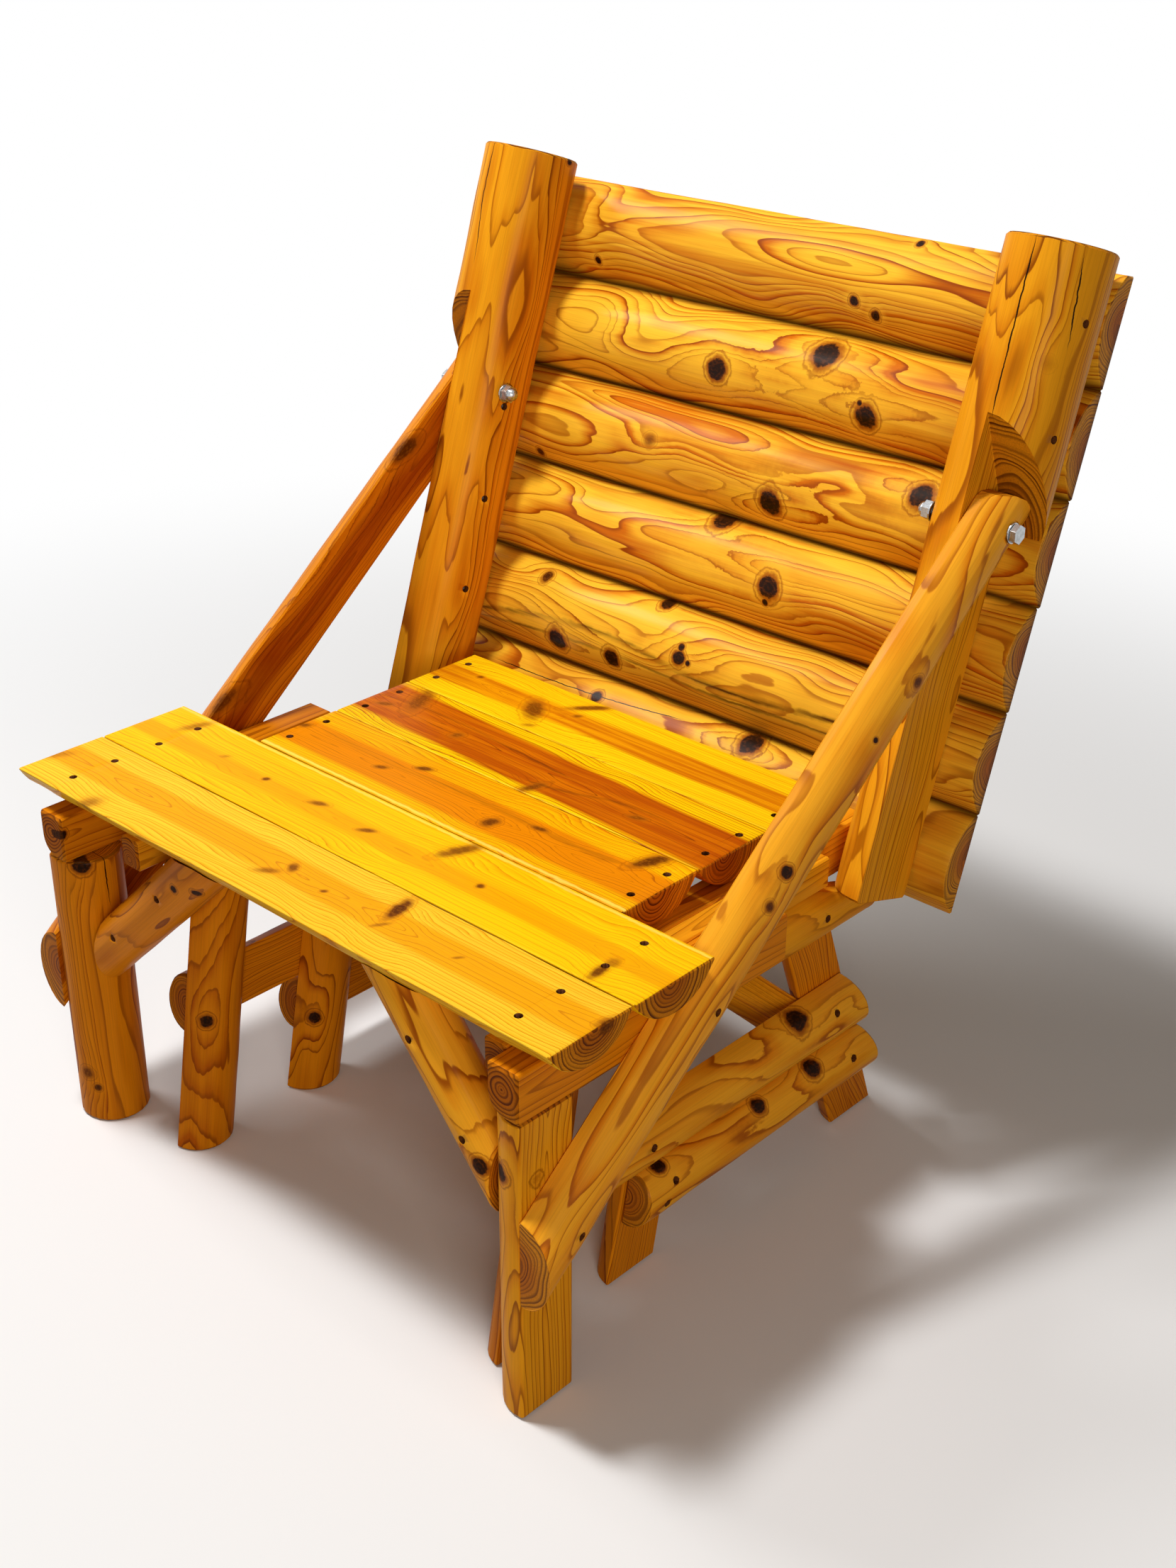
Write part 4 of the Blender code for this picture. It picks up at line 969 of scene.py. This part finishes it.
# Seat planks from the front: tone, seed, and the values with these names
PLANK_VALUES = ("pith", "across", "drift", "ring", "swirl", "heart", "line", "cloud", "wane")
PLANKS = (
    ("lemon", 3.1, -0.002, -0.004, 0.0, 0.0042, 0.0009, 0.019, 0.80, 0.4, 0.0016),
    ("gold", 7.4, -0.001, 0.006, 0.0, 0.0046, 0.0020, 0.014, 0.50, 0.7, 0.0004),
    ("orange", 11.9, -0.001, 0.006, 0.0, 0.0042, 0.0014, 0.026, 0.75, 0.5, 0.0004),
    ("heart", 15.2, 0.001, -0.007, -0.042, 0.0042, 0.0014, 0.037, 0.85, 0.4, 0.0005),
    ("stripe", 19.6, -0.001, 0.002, 0.0, 0.0040, 0.0013, 0.019, 0.75, 0.4, 0.0004),
)
# By how much the planks and the slats are widened to close the seams between them
PLANK_SEAM = 0.0012
SLAT_SEAM = 0.0017

for number, (tone, seed, *values) in enumerate(PLANKS, 1):
    widen = (PLANK_SEAM if number < len(PLANKS) else 0.0, PLANK_SEAM if number > 1 else 0.0)
    place(
        f"seat_plank_{number}", X, -Z, tone, seed, uneven=0.0006, ease=0.0012, ease_long=0.0011, widen=widen,
        cut=0.0, feather=(170.0, 170.0, 45.0, 1.0), **dict(zip(PLANK_VALUES, values)),
    )

for left, label in enumerate(("right", "left")):
    out = -X if left else X
    # The timbers on the left stand in shade and take tan, a darker copy of the right's flame and amber:
    # painted shade
    tone = "tan" if left else "flame"
    place(f"outer_rail_{label}", Y, Z, "rust", 2.3 + left, pith=0.03, ring=0.0040, line=0.6, uneven=0)
    place(
        f"front_leg_{label}", Z, -out, "tan" if left else "amber", 4.7 + 3 * left, pith=0.002,
        ring=0.0036 if left else 0.0050, swirl=0.010, line=0.95,
    )
    rise = math.radians(KNEE_RISE[label])
    knee_up = Vector((-out.x * math.cos(rise), 0, math.sin(rise)))
    place(
        f"knee_brace_{label}", knee_up, Y, tone, 6.3 + 5 * left, pith=0.0285,
        ring=0.0036, swirl=0.010, line=0.9,
    )
    for part, lean in TRESTLE_LEANS:
        # The trestle legs stand in shade under the seat, and tan gives them painted shade; the rear left one
        # takes rust
        leg_tone = "rust" if left and part == "rear" else "tan"
        place(
            f"trestle_leg_{part}_{label}", leaning(lean), -out, leg_tone, len(part) * 2.3 + 8 * left,
            ring=0.0034, swirl=0.011, line=0.95,
        )
    place(f"seat_bearer_{label}", Y, Z, "amber", 5.5 + left, pith=0.02, uneven=0)
    place(f"seat_cleat_{label}", Y, Z, "amber", 8.8 + left, pith=0.01, uneven=0)
    place(f"side_rail_{label}", Y, out, "amber", 12.1 + left, ring=0.003)
    place(f"upper_stretcher_{label}", Y, out, tone, 14.6 + left, ring=0.0042, swirl=0.010, line=0.9)
    place(f"lower_stretcher_{label}", Y, out, tone, 17.2 + left, ring=0.0042, swirl=0.010, line=0.9)
    place(
        f"arm_brace_{label}", BRACE_UP, out, "rust" if left else "flame", 21.4 + left, pith=-0.004,
        ring=0.0046, swirl=0.011, line=0.9, heart=0.02 if left else 0.0, gloss=0.15,
    )
    place(
        f"back_post_{label}", POST_UP, -POST_REAR, "amber", 25.7 + left, pith=0.010, across=-0.012 * out.x,
        ring=0.0044, swirl=0.009, line=0.95,
    )

place("rear_cross_tie", X, -Y, "amber", 31.3, pith=-0.004)

# Where each slat's log had its centre: pith and across, from the lowest slat up
SLAT_CENTRES = (
    (-0.003, 0.006), (-0.002, -0.004), (-0.004, 0.008), (-0.005, 0.004), (-0.008, -0.006), (-0.003, 0.008),
)
for index, (pith, across) in enumerate(SLAT_CENTRES):
    lowest, highest = index == 0, index == len(SLAT_CENTRES) - 1
    place(
        f"back_slat_{index + 1}", X, -POST_REAR, "honey", 33.1 + 3.7 * index, pith=pith, across=across,
        ring=0.0032, swirl=0.0100, line=1.0, cloud=0.7, gloss=0.2,
        uneven=0.0010, ease=0.0015, ease_long=0.0003,
        widen=(0.0 if lowest else SLAT_SEAM, 0.0 if highest else SLAT_SEAM),
        # Painted shade darkens each slat next to the seams it shares with its neighbours
        seams="plus" if lowest else "minus" if highest else "both",
    )


# Pivot hardware


def steel(name, colour, roughness):
    """Steel with uneven gloss and fine scratches one way."""
    material, t, shader = new_material(name)
    coordinates = t.node("ShaderNodeTexCoord")
    cloud = t.noise(coordinates.outputs["Object"], 260.0, 3.0, 0.6)
    drawn = t.vector("MULTIPLY", coordinates.outputs["Object"], (300.0, 2200.0, 2200.0))
    scratch = t.noise(drawn, 1.0, 2.0, 0.6)
    tint = t.mix(t.step(cloud, 0.3, 0.7), (*colour, 1.0), tuple(c * 0.72 for c in colour) + (1.0,))
    t.feed(shader.inputs["Base Color"], tint)
    rough = t.math("ADD", roughness, t.math("MULTIPLY", t.math("ADD", cloud, scratch), 0.08))
    t.feed(shader.inputs["Roughness"], rough)
    shader.inputs["Metallic"].default_value = 1.0
    t.bump(shader, scratch, strength=0.15, distance=0.0002)
    return material


ZINC = steel("zinc_steel", (0.48, 0.49, 0.50), 0.18)
SCREW = steel("screw_steel", (0.11, 0.09, 0.07), 0.42)

for name, node in nodes.items():
    if name.startswith(("pivot_", "cap_nut_")):
        node.data.materials.clear()
        node.data.materials.append(ZINC)
        weld = node.modifiers.new("weld", "WELD")
        weld.merge_threshold = 1e-6
        soft = node.modifiers.new("soft_edges", "BEVEL")
        soft.width = 0.0004
        soft.segments = 2
        soft.limit_method = "ANGLE"
        soft.angle_limit = math.radians(40)


# Screw heads, in metres: radius, height above the hole's bottom, width and depth of rim and recess
HEAD_RADIUS = 0.0039
HEAD_RISE = 0.0035
HEAD_RIM = (0.0007, 0.0003)
HEAD_RECESS = (0.0018, -0.0008)


def screw_heads(body, places):
    """Round screw heads with a recess, deep in the holes of one body."""
    bm = bmesh.new()
    for centre, normal in places:
        turn = normal.to_track_quat("Z", "Y").to_matrix().to_4x4()
        head = bmesh.ops.create_circle(bm, cap_ends=True, cap_tris=False, segments=20, radius=HEAD_RADIUS)
        move = Matrix.Translation(centre + normal * HEAD_RISE) @ turn
        bmesh.ops.transform(bm, matrix=move, verts=head["verts"])
        face = next(f for f in bm.faces if set(head["verts"]) == set(f.verts))
        for thickness, depth in (HEAD_RIM, HEAD_RECESS):
            bmesh.ops.inset_individual(bm, faces=[face], thickness=thickness, depth=depth)
    piece = link_mesh(bm, body + "_screws", 30, SCREW)
    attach(piece, body)


for body, places in screw_places.items():
    screw_heads(body, places)


# Stage, light and camera

# What the camera and reflections see of the floor and the room, and what light bounces off them
FLOOR_SEEN = (0.88, 0.88, 0.88, 1.0)
FLOOR_BOUNCE = (0.34, 0.30, 0.26, 1.0)
ROOM_SEEN = (1.0, 1.0, 1.0, 1.0)
ROOM_LIGHT = (0.118, 0.107, 0.096, 1.0)
# Distances from the middle over which the floor turns white
WHITE_FROM_TO = (0.75, 2.3)
# Camera, fitted to the photograph: focal length and picture height in its pixels, angles in degrees
FOCAL_PIXELS = 2849.39
PICTURE_PIXELS = 2212
CAMERA_ANGLES = (42.73, 27.02, 0.328)
SENSOR_HEIGHT = 36


def stage_material():
    """A pale floor that turns white with distance. Only the camera and reflections see it so pale."""
    material, t, shader = new_material("stage_white")
    output = material.node_tree.nodes["Material Output"]
    seen = t.seen_directly()
    t.feed(shader.inputs["Base Color"], t.mix(seen, FLOOR_BOUNCE, FLOOR_SEEN))
    shader.inputs["Roughness"].default_value = 0.9
    shader.inputs["Specular IOR Level"].default_value = 0.1
    white = t.node("ShaderNodeEmission")
    coordinates = t.node("ShaderNodeTexCoord")
    distance = t.vector("LENGTH", coordinates.outputs["Object"])
    blend = t.node("ShaderNodeMixShader")
    t.feed(blend.inputs[0], t.times(t.step(distance, *WHITE_FROM_TO), seen))
    t.feed(blend.inputs[1], shader.outputs[0])
    t.feed(blend.inputs[2], white.outputs[0])
    t.feed(output.inputs["Surface"], blend.outputs[0])
    return material


# Slightly under the feet, so that no faces coincide
bpy.ops.mesh.primitive_plane_add(size=30, location=(0, 0, -0.0002))
floor = bpy.context.object
floor.name = "stage_floor"
floor.data.materials.append(stage_material())

world = bpy.data.worlds.new("studio")
bpy.context.scene.world = world
world.use_nodes = True
t = Tree(world.node_tree)
background = world.node_tree.nodes["Background"]
seen = t.seen_directly()
t.feed(background.inputs["Color"], t.mix(seen, ROOM_LIGHT, ROOM_SEEN))
background.inputs["Strength"].default_value = 1.0


def area_light(name, place, target, size, power, colour=(1.0, 1.0, 1.0)):
    data = bpy.data.lights.new(name, "AREA")
    data.shape = "RECTANGLE"
    data.size, data.size_y = size
    data.energy = power
    data.color = colour
    lamp = bpy.data.objects.new(name, data)
    bpy.context.scene.collection.objects.link(lamp)
    lamp.location = place
    lamp.rotation_euler = (Vector(target) - Vector(place)).to_track_quat("-Z", "Y").to_euler()


area_light("key", (-0.7, -0.75, 3.6), (0, 0, 0.4), (0.5, 0.5), 88)
area_light("sheen", (-2.3, -0.6, 3.0), (0, 0, 0.5), (1.0, 1.0), 36)
area_light("fill", (2.8, -2.3, 1.4), (0, 0, 0.5), (1.2, 1.2), 43, (1.0, 0.91, 0.81))

camera_data = bpy.data.cameras.new("camera")
camera_data.sensor_fit = "VERTICAL"
camera_data.sensor_height = SENSOR_HEIGHT
camera_data.lens = FOCAL_PIXELS / PICTURE_PIXELS * SENSOR_HEIGHT
camera_data.clip_start = 0.05
camera = bpy.data.objects.new("camera", camera_data)
bpy.context.scene.collection.objects.link(camera)
turn, tilt, roll = (math.radians(angle) for angle in CAMERA_ANGLES)
backward = Vector((math.sin(turn) * math.cos(tilt), -math.cos(turn) * math.cos(tilt), math.sin(tilt)))
level = Vector((math.cos(turn), math.sin(turn), 0))
upright = backward.cross(level)
right = level * math.cos(roll) + upright * math.sin(roll)
above = upright * math.cos(roll) - level * math.sin(roll)
view = Matrix((right, above, backward)).transposed().to_4x4()
view.translation = Vector((1.31763, PIVOT_Y - 1.60127, 1.34929))
camera.matrix_world = view
bpy.context.scene.camera = camera
bpy.context.scene.view_settings.view_transform = "Standard"
